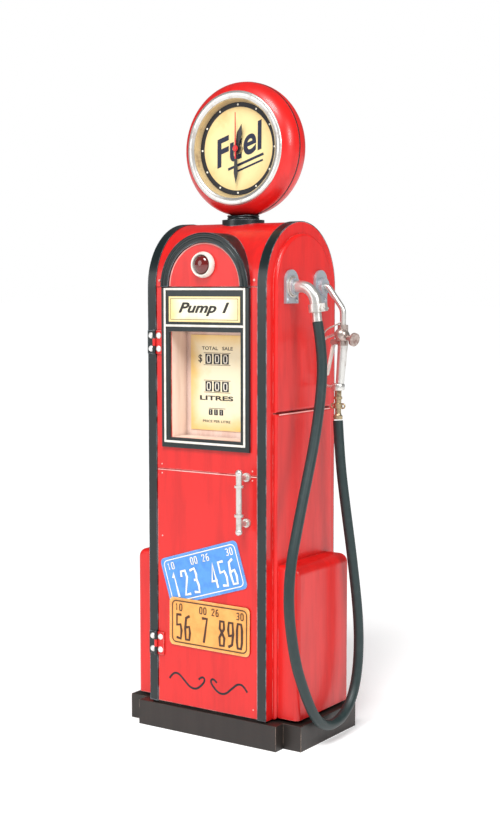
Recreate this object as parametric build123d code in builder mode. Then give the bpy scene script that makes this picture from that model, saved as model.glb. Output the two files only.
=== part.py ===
"""A painted sheet-metal fuel pump, about a third of full size, with a quartz clock in its globe,
a storage cabinet behind its hinged door, and a hose with a nozzle hung on its right side.

Millimetres, +Z up. The origin is the centre of the plinth's underside, the door faces -Y and
the hose side is +X.
"""
import os
from math import cos, radians, sin, sqrt, tan

from build123d import *

os.makedirs("parts", exist_ok=True)

# --- Sheet metal and fits ---
SHEET = 1.2                 # thickness of the cabinet sheet
THIN_SHEET = 0.8            # bands, hinge leaves and number plates
RUNNING_CLEARANCE = 0.05    # radial, on pins and shafts
NOZZLE_CLEARANCE = 0.1      # radial, spout in its socket
DOOR_GAP = 0.6              # around the door
SEAT_GAP = 0.3              # between pieces that must not rub

# --- Cabinet ---
CABINET_WIDTH = 140.0       # along X, without the raised side panels
CABINET_DEPTH = 124.2       # along Y, and the diameter of the barrel roof
SPRING_HEIGHT = 443.0       # where the barrel roof springs
FOOT_GAP = 2.0              # floor plate, the dark gap under the cabinet
FOOT_INSET = 2.0
FLANGE_WIDTH = 10.0         # folded front and back edges of each side panel
BAND_WIDTH = 10.0
PANEL_INSET = 11.0          # raised side panels
PANEL_RISE = 4.0
PANEL_FILLET = 2.5
SIDE_SEAM_HEIGHT = 323.0
SIDE_SEAM_GAP = 1.2
SCREW_RADIUS = 1.25
SCREW_HEAD_RADIUS = 2.6
SCREW_HEAD_HEIGHT = 1.6

# --- Plinth and saddle boxes ---
PLINTH_HEIGHT = 25.0
PLINTH_SIDE_MARGIN = 12.8   # beyond the cabinet's sides
PLINTH_FRONT_MARGIN = 3.05  # beyond the cabinet's front and back
WING_MARGIN = 6.0           # beyond the saddle boxes' outer faces
WING_END_MARGIN = 4.0       # beyond the saddle boxes' ends
BASE_BOARD_THICKNESS = 3.0
BOX_DEPTH = 23.0            # along X, from the raised panel
BOX_LENGTH = 96.0           # along Y
BOX_HEIGHT = 149.0
BOX_EDGE_RADIUS = 9.0
BOX_CORNER_RADIUS = 5.0
BOX_LIFT = 3.0              # above the plinth's top

# --- Door ---
DOOR_RETURN = 6.0           # depth of the door's folded edges
DOOR_SEAM_HEIGHT = 263.5
DOOR_SEAM_GAP = 0.8
WINDOW_HALF_WIDTH = 42.0
WINDOW_BOTTOM = 295.5
WINDOW_TOP = 399.5
FRAME_HALF_WIDTH = 52.0
FRAME_BOTTOM = 285.5
FRAME_THICKNESS = 3.0
BEAD_WIDTH = 2.2
BEAD_RISE = 0.9
BEAD_HALF_WIDTH = 47.0
BEAD_BOTTOM = 291.5
BEAD_TOP = 441.7
BEAD_CROSSBAR = 404.2
SIGN_HALF_WIDTH = 42.0
SIGN_BOTTOM = 409.0
SIGN_TOP = 433.5
SIGN_RISE = 0.6
RECESS_DEPTH = 26.0
RECESS_FLANGE = 4.0
CARD_HALF_WIDTH = 36.5
CARD_BOTTOM = 301.7
CARD_TOP = 395.6
CARD_THICKNESS = 0.8

# --- Door furniture ---
HANDLE_X = 48.0
HANDLE_STANDOFF = 14.0
HANDLE_BOTTOM = 207.4
HANDLE_TOP = 270.6
HANDLE_RADIUS = 2.9
HANDLE_BALL_RADIUS = 3.5
HANDLE_COLLAR_RADIUS = 4.5
HANDLE_COLLAR_THICKNESS = 2.2
HANDLE_COLLAR_HEIGHTS = (226.6, 254.5)
HANDLE_POST_RADIUS = 2.4
HANDLE_POST_HEIGHTS = (218.0, 262.0)
HANDLE_ROSE_RADIUS = 4.2
HANDLE_ROSE_THICKNESS = 2.5
PLATE_LENGTH = 96.0
PLATE_HEIGHT = 48.0
PLATE_CORNER_RADIUS = 5.0
BLUE_PLATE_CENTRE = (-3.75, 163.25)
BLUE_PLATE_TURN = 17.3
ORANGE_PLATE_CENTRE = (3.6, 111.6)
ORANGE_PLATE_TURN = -0.3
HINGE_HEIGHTS = (86.5, 388.5)
HINGE_LEAF_HEIGHT = 23.0
HINGE_LEAF_WIDTH = 9.0
HINGE_KNUCKLE_RADIUS = 1.6
HINGE_PIN_RADIUS = 0.8
HINGE_SETBACK = 2.0         # hinge axis in front of the band's face
HINGE_RIVET_SPACING = 13.0
HINGE_RIVET_RADIUS = 3.1
HINGE_RIVET_OFFSET = 4.7    # rivet centre from the hinge axis
CATCH_HEIGHT = 238.0
CATCH_SIZE = (20.8, 10.0, 16.0)

# --- Dormer and lamp ---
DORMER_RADIUS = 51.5
DORMER_FACE_RADIUS = 42.2
DORMER_RISE = 4.5           # moulding in front of the door's plane
DORMER_FACE_SETBACK = 2.0
LAMP_HEIGHT = 463.8
LAMP_RING_RADIUS = 12.4
LAMP_LENS_RADIUS = 9.0
LAMP_RING_RISE = 6.5        # from the dormer face

# --- Neck and globe ---
GLOBE_Y = 2.0
GLOBE_HEIGHT = 578.0
GLOBE_RADIUS = 65.5
GLOBE_RIM_RADIUS = 56.0     # front rim, where the shell meets the bezel
GLOBE_FRONT = 16.0          # front rim in front of the seam
GLOBE_BACK = 22.0           # rear face behind the seam
GLOBE_BACK_RADIUS = 57.0
GLOBE_WALL = 1.5
NECK_FLANGE_RADIUS = 21.0
NECK_FLANGE_HEIGHT = 3.5
NECK_RADIUS = 16.0
NECK_TUBE_RADIUS = 4.0
NECK_NUT_RADIUS = 8.0
NECK_NUT_HEIGHT = 4.0
STUD_END = 2.0
NUT_LIFT = 1.8              # clears the curve of the globe's wall under the nut
BEZEL_INNER_RADIUS = 47.5
BEZEL_THICKNESS = 1.6
DIAL_RADIUS = 45.4
DIAL_DEPTH = 8.5            # dial face behind the bezel's front
DIAL_THICKNESS = 0.8
REAR_OPENING_RADIUS = 40.0

# --- Clock ---
MOVEMENT_SIZE = 56.0
MOVEMENT_DEPTH = 15.0
MOVEMENT_WALL = 1.5
POST_RADIUS = 4.0
NUT_RADIUS = 6.0
NUT_THICKNESS = 1.6
HOUR_TUBE_RADIUS = 2.6
MINUTE_SHAFT_RADIUS = 1.7
SECOND_PIN_RADIUS = 0.8
HAND_THICKNESS = 0.5
HAND_GAP = 0.4
HOUR_HAND_LENGTH = 24.0
MINUTE_HAND_LENGTH = 34.0
SECOND_HAND_LENGTH = 35.0
HOUR_HAND_ANGLE = 15.0      # half past twelve
BATTERY_RADIUS = 7.1
BATTERY_LENGTH = 50.0
KNOB_RADIUS = 7.0
KNOB_THICKNESS = 3.5

# --- Hose, outlet and nozzle ---
HOSE_RADIUS = 5.0
HOSE_ROUTE = [
    (104.5, -27.5, 410), (108, -24, 381), (108.5, -26, 345), (108, -38, 295), (107.5, -61, 235),
    (108, -86, 166), (110, -77, 100), (112, -60, 60), (113, -40, 29), (113, -16.5, 18),
    (113, 8.5, 20.5), (113, 29, 36), (113.5, 39, 66), (113, 40.5, 110), (110, 33, 170),
    (104, 27, 231), (99.5, 24.5, 273), (96, 26, 312),
]
OUTLET_Y = -27.5
SOCKET_Y = 26.0
FITTING_HEIGHT = 443.0
FLANGE_PLATE_WIDTH = 22.0
FLANGE_PLATE_HEIGHT = 32.0
FLANGE_PLATE_THICKNESS = 2.5
FLANGE_BOSS_RADIUS = 8.0
FLANGE_BOSS_LENGTH = 4.5
ELBOW_RADIUS = 5.6
ELBOW_BEND = 16.0
FERRULE_RADIUS = 4.6
FERRULE_LENGTH = 9.0
CLAMP_RADIUS = 7.2
CLAMP_WIDTH = 7.5
CLAMP_LUG = (4.0, 5.0)  # reach past the clamp, width
SPOUT_RADIUS = 3.0
SPOUT_KNEE = (84.0, 443.0)
SPOUT_ELBOW = (101.0, 421.0)
SPOUT_BENDS = (6.0, 14.0)
SPOUT_INSERTION = 27.0
VALVE_X = 101.0
VALVE_HEIGHT = 395.0
VALVE_RADIUS = 6.8
VALVE_NECK_RADIUS = 5.2
CAP_RADIUS = 6.6
CAP_THICKNESS = 2.4
CAP_STEM_RADIUS = 2.8
CAP_REACH = 14.0
SEAT_DEPTH = 0.6
CAP_TURN = 13.0
CAP_DROP = 12.0
GRIP_TOP_RADIUS = 5.0
GRIP_BOTTOM_RADIUS = 4.2
GRIP_BOTTOM = (98.0, 348.5)
GUARD_RADIUS = 1.4
GUARD_LEFT = 78.2
GUARD_BOTTOM = 345.0
GUARD_BEND = 5.0
LEVER_PIVOT = (91.5, 389.0)
LEVER_END = (83.5, 356.0)
LEVER_WIDTH = 4.0
LEVER_THICKNESS = 1.6
PIVOT_RADIUS = 1.5
SWIVEL_X = 96.0
SWIVEL_BOTTOM = 313.4
SWIVEL_NECK_RADIUS = 3.3
SWIVEL_NUT_BOTTOM = 324.0
SWIVEL_NUT_HEIGHT = 5.0
SWIVEL_NUT_RADIUS = 5.0
SWIVEL_RINGS = (  # bottom, top, radius
    (341.5, 348.5, 6.5),
    (333.0, 335.5, 4.2),
    (313.4, 317.5, 4.6),
)

# --- Values that follow from these ---
HALF_WIDTH = CABINET_WIDTH / 2
ROOF_RADIUS = CABINET_DEPTH / 2
FRONT = -ROOF_RADIUS
CABINET_BOTTOM = PLINTH_HEIGHT + FOOT_GAP
PANEL_FACE = HALF_WIDTH + PANEL_RISE
PANEL_HALF_DEPTH = ROOF_RADIUS - PANEL_INSET
BOX_FACE = PANEL_FACE + BOX_DEPTH
DOOR_HALF_WIDTH = HALF_WIDTH - BAND_WIDTH - DOOR_GAP
DOOR_BOTTOM = CABINET_BOTTOM + DOOR_GAP
DOOR_TOP = SPRING_HEIGHT - DOOR_GAP
HINGE_X = -(HALF_WIDTH - BAND_WIDTH + 1.0)
HINGE_Y = FRONT - THIN_SHEET - HINGE_SETBACK
ROOF_TOP = SPRING_HEIGHT + ROOF_RADIUS
SEAM_Y = GLOBE_Y
BEZEL_FRONT = SEAM_Y - GLOBE_FRONT - BEZEL_THICKNESS
DIAL_FRONT = BEZEL_FRONT + DIAL_DEPTH
DIAL_BACK = DIAL_FRONT + DIAL_THICKNESS
MOVEMENT_BACK = DIAL_BACK + MOVEMENT_DEPTH
FITTING_FACE = PANEL_FACE + FLANGE_PLATE_THICKNESS + FLANGE_BOSS_LENGTH
BORE_RADIUS = SPOUT_RADIUS + NOZZLE_CLEARANCE
CUP_RADIUS = BORE_RADIUS + SHEET


def front_plane(y):
    """Sketch plane at depth y that faces the front, with X and Z as its directions."""
    return Plane.XZ.offset(-y)


def side_plane(x):
    """Sketch plane at x that faces the hose side, with Y and Z as its directions."""
    return Plane.YZ.offset(x)


def save(piece, label):
    """Name a finished piece and write it."""
    piece.part.label = label
    export_step(piece.part, f"parts/{label}.step")


def strip(left, right, bottom, top, mode=Mode.ADD):
    """A rectangle in the current sketch, given by its four sides."""
    with Locations(((left + right) / 2, (bottom + top) / 2)):
        Rectangle(right - left, top - bottom, mode=mode)


def tombstone(half_width, bottom, mode=Mode.ADD):
    """A rectangle with a half-round top that springs where the barrel roof does."""
    strip(-half_width, half_width, bottom, SPRING_HEIGHT, mode)
    with Locations((0, SPRING_HEIGHT)):
        Circle(half_width, mode=mode)


def half_disc(radius, mode=Mode.ADD):
    """The upper half of a disc whose centre is on the roof's spring line."""
    with BuildSketch(mode=Mode.PRIVATE) as disc:
        with Locations((0, SPRING_HEIGHT)):
            Circle(radius)
        strip(-radius - 1, radius + 1, SPRING_HEIGHT - radius - 1, SPRING_HEIGHT, Mode.SUBTRACT)
    add(disc.sketch, mode=mode)


def dome(x, y, z, radius, height, turn=(90, 0, 0)):
    """A rivet or screw head that stands on the face at depth y and points to -Y."""
    ball_radius = (radius ** 2 + height ** 2) / (2 * height)
    ball = Pos(0, 0, height - ball_radius) * Sphere(ball_radius, mode=Mode.PRIVATE)
    blank = Cylinder(radius, height, align=(Align.CENTER, Align.CENTER, Align.MIN), mode=Mode.PRIVATE)
    add(Location((x, y, z), turn) * (ball & blank))


# --- Plinth and base ---
def plinth_plan(inset=0.0):
    """The plinth's cross-shaped outline: the cabinet's foot and a wing under each saddle box."""
    Rectangle(
        CABINET_WIDTH + 2 * (PLINTH_SIDE_MARGIN - inset),
        CABINET_DEPTH + 2 * (PLINTH_FRONT_MARGIN - inset),
    )
    Rectangle(2 * (BOX_FACE + WING_MARGIN - inset), BOX_LENGTH + 2 * (WING_END_MARGIN - inset))


with BuildPart() as plinth:
    with BuildSketch():
        plinth_plan()
    extrude(amount=PLINTH_HEIGHT)
    fillet(plinth.faces().sort_by(Axis.Z)[-1].edges(), SHEET / 2)
    with BuildSketch():
        plinth_plan(SHEET)
    extrude(amount=PLINTH_HEIGHT - SHEET, mode=Mode.SUBTRACT)
save(plinth, "plinth")

with BuildPart() as base_board:
    with BuildSketch():
        plinth_plan(SHEET)
    extrude(amount=BASE_BOARD_THICKNESS)
save(base_board, "base_board")

with BuildPart() as floor_plate:
    with BuildSketch(Plane.XY.offset(PLINTH_HEIGHT)):
        Rectangle(CABINET_WIDTH - 2 * FOOT_INSET, CABINET_DEPTH - 2 * FOOT_INSET)
    extrude(amount=FOOT_GAP)
save(floor_plate, "floor_plate")

# --- Side panels: a tombstone sheet with folded edges and two raised panels pressed in it ---
FLOOR_SEAM = SIDE_SEAM_HEIGHT - SIDE_SEAM_GAP / 2
ROOF_SEAM = SIDE_SEAM_HEIGHT + SIDE_SEAM_GAP / 2


def side_sheet(hole_radii):
    """One side panel on the +X side, with a round hole for each (y, radius) given."""
    with BuildPart() as panel:
        with BuildSketch(side_plane(HALF_WIDTH - SHEET)):
            tombstone(ROOF_RADIUS, CABINET_BOTTOM)
        extrude(amount=SHEET)
        with BuildSketch(Plane.XY.offset(CABINET_BOTTOM)):
            for edge in (FRONT, ROOF_RADIUS - SHEET):
                strip(HALF_WIDTH - FLANGE_WIDTH, HALF_WIDTH - SHEET, edge, edge + SHEET)
        extrude(amount=SPRING_HEIGHT - CABINET_BOTTOM)
        for inset, face, depth, mode in (
            (0.0, PANEL_FACE, PANEL_RISE, Mode.ADD),
            (SHEET, PANEL_FACE - SHEET, PANEL_RISE, Mode.SUBTRACT),
        ):
            half = PANEL_HALF_DEPTH - inset
            with BuildSketch(side_plane(face)):
                tombstone(half, ROOF_SEAM + inset)
            extrude(amount=-depth, mode=mode)
            with BuildSketch(side_plane(face)):
                strip(-half, half, CABINET_BOTTOM + inset, FLOOR_SEAM - inset)
            extrude(amount=-depth, mode=mode)
            if mode is Mode.ADD:
                fillet(panel.faces().filter_by(Axis.X).group_by(Axis.X)[-1].edges(), PANEL_FILLET)
        if hole_radii:
            with BuildSketch(side_plane(PANEL_FACE)):
                for y, radius in hole_radii:
                    with Locations((y, FITTING_HEIGHT)):
                        Circle(radius)
            extrude(amount=-PANEL_RISE, mode=Mode.SUBTRACT)
    return panel


right_side_panel = side_sheet([(OUTLET_Y, ELBOW_RADIUS + SEAT_GAP), (SOCKET_Y, CUP_RADIUS + SEAT_GAP)])
save(right_side_panel, "right_side_panel")

with BuildPart() as left_side_panel:
    mirror(side_sheet([]).part, about=Plane.YZ)
save(left_side_panel, "left_side_panel")

# --- Roof, back and bands ---
with BuildPart() as barrel_roof:
    with BuildSketch(side_plane(-HALF_WIDTH + SHEET)):
        half_disc(ROOF_RADIUS)
        half_disc(ROOF_RADIUS - SHEET, Mode.SUBTRACT)
    extrude(amount=CABINET_WIDTH - 2 * SHEET)
    with BuildSketch(Plane.XY.offset(SPRING_HEIGHT + ROOF_RADIUS / 2)):
        with Locations((0, GLOBE_Y)):
            Circle(NECK_TUBE_RADIUS + SEAT_GAP)
    extrude(amount=ROOF_RADIUS, mode=Mode.SUBTRACT)
save(barrel_roof, "barrel_roof")

BACK_HALF_WIDTH = HALF_WIDTH - 2 * SHEET
BACK_FACE = ROOF_RADIUS - SHEET
SCREW_X = HALF_WIDTH - FLANGE_WIDTH / 2
SCREW_HEIGHTS = [CABINET_BOTTOM + 12, (CABINET_BOTTOM + SPRING_HEIGHT) / 2, SPRING_HEIGHT - 12]

with BuildPart() as back_panel:
    with BuildSketch(front_plane(BACK_FACE)):
        strip(-BACK_HALF_WIDTH, BACK_HALF_WIDTH, CABINET_BOTTOM, SPRING_HEIGHT)
    extrude(amount=SHEET)
save(back_panel, "back_panel")

with BuildPart() as back_screws:
    for x in (-SCREW_X, SCREW_X):
        for z in SCREW_HEIGHTS:
            dome(x, ROOF_RADIUS + THIN_SHEET, z, SCREW_HEAD_RADIUS, SCREW_HEAD_HEIGHT, (-90, 0, 0))
save(back_screws, "back_screws")

with BuildPart() as right_edge_band:
    with BuildSketch(side_plane(HALF_WIDTH - BAND_WIDTH)):
        tombstone(ROOF_RADIUS + THIN_SHEET, CABINET_BOTTOM)
        tombstone(ROOF_RADIUS, CABINET_BOTTOM, Mode.SUBTRACT)
    extrude(amount=BAND_WIDTH)
save(right_edge_band, "right_edge_band")

with BuildPart() as left_edge_band:
    mirror(right_edge_band.part, about=Plane.YZ)
save(left_edge_band, "left_edge_band")

# --- Saddle boxes: pressed covers, open towards the cabinet ---
BOX_BOTTOM = PLINTH_HEIGHT + BOX_LIFT

with BuildPart() as right_saddle_box:
    with BuildSketch(front_plane(BOX_LENGTH / 2)):
        strip(PANEL_FACE, BOX_FACE, BOX_BOTTOM, BOX_BOTTOM + BOX_HEIGHT)
    extrude(amount=BOX_LENGTH)
    outer = right_saddle_box.faces().sort_by(Axis.X)[-1].edges()
    fillet(outer.filter_by(Axis.Y).sort_by(Axis.Z)[-1], BOX_EDGE_RADIUS)
    ends = right_saddle_box.edges().filter_by(Axis.Z).group_by(Axis.X)[-1]
    fillet(ends, BOX_CORNER_RADIUS)
    offset(amount=-SHEET, openings=right_saddle_box.faces().sort_by(Axis.X)[0])
save(right_saddle_box, "right_saddle_box")

with BuildPart() as left_saddle_box:
    mirror(right_saddle_box.part, about=Plane.YZ)
save(left_saddle_box, "left_saddle_box")

# --- Dormer over the door, with its lamp ---
DORMER_FRONT = FRONT - DORMER_RISE
DORMER_FACE = DORMER_FRONT + DORMER_FACE_SETBACK

with BuildPart() as dormer_hood:
    with BuildSketch(front_plane(DORMER_FRONT)):
        half_disc(DORMER_RADIUS)
        half_disc(DORMER_RADIUS - SHEET, Mode.SUBTRACT)
    extrude(amount=-(DORMER_RISE + ROOF_RADIUS))
    with BuildSketch(front_plane(DORMER_FRONT)):
        half_disc(DORMER_RADIUS)
        half_disc(DORMER_FACE_RADIUS, Mode.SUBTRACT)
    extrude(amount=-DORMER_RISE)
    with BuildSketch(side_plane(-HALF_WIDTH)):
        half_disc(ROOF_RADIUS)
    extrude(amount=CABINET_WIDTH, mode=Mode.SUBTRACT)
save(dormer_hood, "dormer_hood")

with BuildPart() as dormer_face:
    with BuildSketch(front_plane(DORMER_FACE)):
        half_disc(DORMER_FACE_RADIUS)
    extrude(amount=-SHEET)
save(dormer_face, "dormer_face")

with BuildPart() as lamp_ring:
    with BuildSketch(front_plane(DORMER_FACE)):
        with Locations((0, LAMP_HEIGHT)):
            Circle(LAMP_RING_RADIUS)
    extrude(amount=LAMP_RING_RISE)
    fillet(lamp_ring.faces().sort_by(Axis.Y)[0].edges(), LAMP_RING_RISE / 3)
    with BuildSketch(front_plane(DORMER_FACE)):
        with Locations((0, LAMP_HEIGHT)):
            Circle(LAMP_LENS_RADIUS)
    extrude(amount=LAMP_RING_RISE, mode=Mode.SUBTRACT)
save(lamp_ring, "lamp_ring")

with BuildPart() as lamp_lens:
    with BuildSketch(front_plane(DORMER_FACE)):
        with Locations((0, LAMP_HEIGHT)):
            Circle(LAMP_LENS_RADIUS)
    extrude(amount=LAMP_RING_RISE + LAMP_LENS_RADIUS / 5)
    fillet(lamp_lens.faces().sort_by(Axis.Y)[0].edges(), LAMP_LENS_RADIUS / 2)
save(lamp_lens, "lamp_lens")

# --- Neck ---
GLOBE_BOTTOM = GLOBE_HEIGHT - GLOBE_RADIUS
NECK_BEAD = 1.3
NECK_AXIS = Axis((0, GLOBE_Y, 0), (0, 0, 1))
COLLAR_TOP = GLOBE_BOTTOM + 3.5
FLANGE_TOP = ROOF_TOP + NECK_FLANGE_HEIGHT

with BuildPart() as neck_collar:
    with BuildSketch(Plane.XZ.offset(-GLOBE_Y)):
        strip(NECK_TUBE_RADIUS, NECK_FLANGE_RADIUS, SPRING_HEIGHT, FLANGE_TOP)
        strip(NECK_TUBE_RADIUS, NECK_RADIUS - NECK_BEAD, FLANGE_TOP, COLLAR_TOP)
        bead_count = int((COLLAR_TOP - FLANGE_TOP) / (2 * NECK_BEAD))
        bead_heights = [FLANGE_TOP + (2 * i + 1) * NECK_BEAD for i in range(bead_count)]
        with Locations([(NECK_RADIUS - NECK_BEAD, height) for height in bead_heights]):
            Circle(NECK_BEAD)
    revolve(axis=NECK_AXIS)
    with BuildSketch(side_plane(-HALF_WIDTH)):
        half_disc(ROOF_RADIUS)
        strip(-ROOF_RADIUS, ROOF_RADIUS, SPRING_HEIGHT - ROOF_RADIUS, SPRING_HEIGHT)
    extrude(amount=CABINET_WIDTH, mode=Mode.SUBTRACT)
    with BuildSketch(front_plane(FRONT)):
        with Locations((0, GLOBE_HEIGHT)):
            Circle(GLOBE_RADIUS + SEAT_GAP)
    extrude(amount=-CABINET_DEPTH, mode=Mode.SUBTRACT)
save(neck_collar, "neck_collar")

NUT_SAG = ROOF_RADIUS - sqrt((ROOF_RADIUS - SHEET) ** 2 - (NECK_NUT_RADIUS + GLOBE_Y) ** 2)
LOWER_NUT_TOP = ROOF_TOP - NUT_SAG
UPPER_NUT_BOTTOM = GLOBE_HEIGHT - sqrt((GLOBE_RADIUS - GLOBE_WALL - NUT_LIFT) ** 2 - NECK_NUT_RADIUS**2)
STUD_BOTTOM = LOWER_NUT_TOP - NECK_NUT_HEIGHT - STUD_END
STUD_TOP = UPPER_NUT_BOTTOM + NECK_NUT_HEIGHT + STUD_END

with BuildPart() as neck_fixing:
    for low, high, radius in (
        (STUD_BOTTOM, STUD_TOP, NECK_TUBE_RADIUS - RUNNING_CLEARANCE),
        (LOWER_NUT_TOP - NECK_NUT_HEIGHT, LOWER_NUT_TOP, NECK_NUT_RADIUS),
        (UPPER_NUT_BOTTOM, UPPER_NUT_BOTTOM + NECK_NUT_HEIGHT, NECK_NUT_RADIUS),
    ):
        with BuildSketch(Plane.XY.offset(low)):
            with Locations((0, GLOBE_Y)):
                if radius == NECK_NUT_RADIUS:
                    RegularPolygon(radius, 6)
                else:
                    Circle(radius)
        extrude(amount=high - low)
save(neck_fixing, "neck_fixing")

# --- Globe shells, revolved about the clock's axis ---
GLOBE_PLANE = Plane.XY.offset(GLOBE_HEIGHT)
GLOBE_AXIS = Axis((0, 0, GLOBE_HEIGHT), (0, 1, 0))


def shell_half(direction, edge_radius, middle_radius, middle_depth, face_depth, hole_radius):
    """Half of the globe's shell, from the seam to its flat face, as a revolved wall."""
    def at(radius, depth):
        return (radius, SEAM_Y + direction * depth)

    with BuildPart() as half:
        with BuildSketch(GLOBE_PLANE):
            with BuildLine():
                ThreePointArc(
                    at(GLOBE_RADIUS, 0),
                    at(middle_radius, middle_depth),
                    at(edge_radius, face_depth),
                )
                Polyline(
                    at(edge_radius, face_depth),
                    at(hole_radius, face_depth),
                    at(hole_radius, face_depth - GLOBE_WALL),
                    at(edge_radius - GLOBE_WALL / 2, face_depth - GLOBE_WALL),
                )
                ThreePointArc(
                    at(edge_radius - GLOBE_WALL / 2, face_depth - GLOBE_WALL),
                    at(middle_radius - GLOBE_WALL, middle_depth - GLOBE_WALL / 2),
                    at(GLOBE_RADIUS - GLOBE_WALL, 0),
                )
                Line(at(GLOBE_RADIUS - GLOBE_WALL, 0), at(GLOBE_RADIUS, 0))
            make_face()
        revolve(axis=GLOBE_AXIS)
        with BuildSketch(Plane.XY.offset(GLOBE_BOTTOM - 1)):
            with Locations((0, GLOBE_Y)):
                Circle(NECK_TUBE_RADIUS)
        extrude(amount=NECK_NUT_RADIUS, mode=Mode.SUBTRACT)
    return half


BEZEL_OUTER_RADIUS = GLOBE_RIM_RADIUS - 0.5
globe_front_shell = shell_half(
    -1, GLOBE_RIM_RADIUS, GLOBE_RADIUS - 3.2, 0.66 * GLOBE_FRONT, GLOBE_FRONT, BEZEL_INNER_RADIUS + 2
)
save(globe_front_shell, "globe_front_shell")
globe_rear_shell = shell_half(
    1, GLOBE_BACK_RADIUS, GLOBE_RADIUS - 2.4, 0.66 * GLOBE_BACK, GLOBE_BACK, REAR_OPENING_RADIUS
)
save(globe_rear_shell, "globe_rear_shell")

with BuildPart() as clock_bezel:
    with BuildSketch(front_plane(SEAM_Y - GLOBE_FRONT)):
        with Locations((0, GLOBE_HEIGHT)):
            Circle(BEZEL_OUTER_RADIUS)
            Circle(BEZEL_INNER_RADIUS, mode=Mode.SUBTRACT)
    extrude(amount=BEZEL_THICKNESS)
    fillet(clock_bezel.faces().sort_by(Axis.Y)[0].edges(), BEZEL_THICKNESS / 2)
save(clock_bezel, "clock_bezel")

with BuildPart() as dial_wall:
    with BuildSketch(GLOBE_PLANE):
        with BuildLine():
            Polyline(
                (BEZEL_INNER_RADIUS, SEAM_Y - GLOBE_FRONT),
                (BEZEL_INNER_RADIUS + THIN_SHEET, SEAM_Y - GLOBE_FRONT),
                (DIAL_RADIUS + THIN_SHEET, DIAL_FRONT),
                (DIAL_RADIUS, DIAL_FRONT),
                close=True,
            )
        make_face()
    revolve(axis=GLOBE_AXIS)
save(dial_wall, "dial_wall")

with BuildPart() as dial_face:
    with BuildSketch(front_plane(DIAL_FRONT)):
        with Locations((0, GLOBE_HEIGHT)):
            Circle(DIAL_RADIUS + THIN_SHEET)
            Circle(POST_RADIUS + RUNNING_CLEARANCE, mode=Mode.SUBTRACT)
    extrude(amount=-DIAL_THICKNESS)
save(dial_face, "dial_face")

# --- Clock movement, and the hands stacked in front of it ---
NUT_FRONT = DIAL_FRONT - NUT_THICKNESS
POST_FRONT = NUT_FRONT - 1.0
HOUR_BACK = POST_FRONT - HAND_GAP
MINUTE_BACK = HOUR_BACK - HAND_THICKNESS - HAND_GAP
SECOND_BACK = MINUTE_BACK - HAND_THICKNESS - HAND_GAP
HOUR_TUBE_END = DIAL_BACK + 4
MINUTE_SHAFT_END = DIAL_BACK + 7
KNOB_SHAFT_END = MINUTE_SHAFT_END + 1
POCKET_CENTRE = GLOBE_HEIGHT - 19
POCKET_HALF = (BATTERY_LENGTH / 2 + 0.5, BATTERY_RADIUS + 0.3)


def disc(y_back, y_front, radius, mode=Mode.ADD):
    """A round of the clock's stack between two depths."""
    with BuildSketch(front_plane(y_back)) as face:
        with Locations((0, GLOBE_HEIGHT)):
            Circle(radius)
    extrude(face.sketch, amount=y_back - y_front, mode=mode)


with BuildPart() as movement_case:
    with BuildSketch(front_plane(DIAL_BACK)):
        with Locations((0, GLOBE_HEIGHT)):
            RectangleRounded(MOVEMENT_SIZE, MOVEMENT_SIZE, 3)
    extrude(amount=-MOVEMENT_DEPTH)
    disc(DIAL_BACK, POST_FRONT, POST_RADIUS)
    with BuildSketch(front_plane(MOVEMENT_BACK)):
        with Locations((0, POCKET_CENTRE)):
            Rectangle(2 * POCKET_HALF[0], 2 * POCKET_HALF[1])
    extrude(amount=MOVEMENT_DEPTH - 0.5, mode=Mode.SUBTRACT)
    disc(KNOB_SHAFT_END, POST_FRONT, HOUR_TUBE_RADIUS + RUNNING_CLEARANCE, Mode.SUBTRACT)
    disc(MOVEMENT_BACK, KNOB_SHAFT_END, MINUTE_SHAFT_RADIUS + RUNNING_CLEARANCE, Mode.SUBTRACT)
save(movement_case, "movement_case")

with BuildPart() as battery:
    with BuildSketch(side_plane(-BATTERY_LENGTH / 2)):
        with Locations((MOVEMENT_BACK - BATTERY_RADIUS, POCKET_CENTRE)):
            Circle(BATTERY_RADIUS)
    extrude(amount=BATTERY_LENGTH - 1.5)
    with BuildSketch(side_plane(BATTERY_LENGTH / 2 - 1.5)):
        with Locations((MOVEMENT_BACK - BATTERY_RADIUS, POCKET_CENTRE)):
            Circle(BATTERY_RADIUS / 3)
    extrude(amount=1.5)
save(battery, "battery")

with BuildPart() as dial_nut:
    with BuildSketch(front_plane(DIAL_FRONT)):
        with Locations((0, GLOBE_HEIGHT)):
            RegularPolygon(NUT_RADIUS, 6)
            Circle(POST_RADIUS, mode=Mode.SUBTRACT)
    extrude(amount=NUT_THICKNESS)
save(dial_nut, "dial_nut")


def hand_plane(y, angle):
    """Plane at depth y on the clock's axis whose Y runs along a hand turned clockwise by angle."""
    turn = radians(angle)
    return Plane(origin=(0, y, GLOBE_HEIGHT), x_dir=(cos(turn), 0, -sin(turn)), z_dir=(0, -1, 0))


with BuildPart() as hour_hand:
    with BuildSketch(hand_plane(HOUR_BACK, HOUR_HAND_ANGLE)):
        Circle(1.6 * HOUR_TUBE_RADIUS)
        Polygon((-1.2, 0), (1.2, 0), (3.2, 0.62 * HOUR_HAND_LENGTH), (0, HOUR_HAND_LENGTH),
                (-3.2, 0.62 * HOUR_HAND_LENGTH), align=None)
    extrude(amount=HAND_THICKNESS)
    disc(HOUR_TUBE_END, HOUR_BACK, HOUR_TUBE_RADIUS)
    disc(HOUR_TUBE_END, HOUR_BACK - HAND_THICKNESS, MINUTE_SHAFT_RADIUS + RUNNING_CLEARANCE, Mode.SUBTRACT)
save(hour_hand, "hour_hand")

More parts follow.
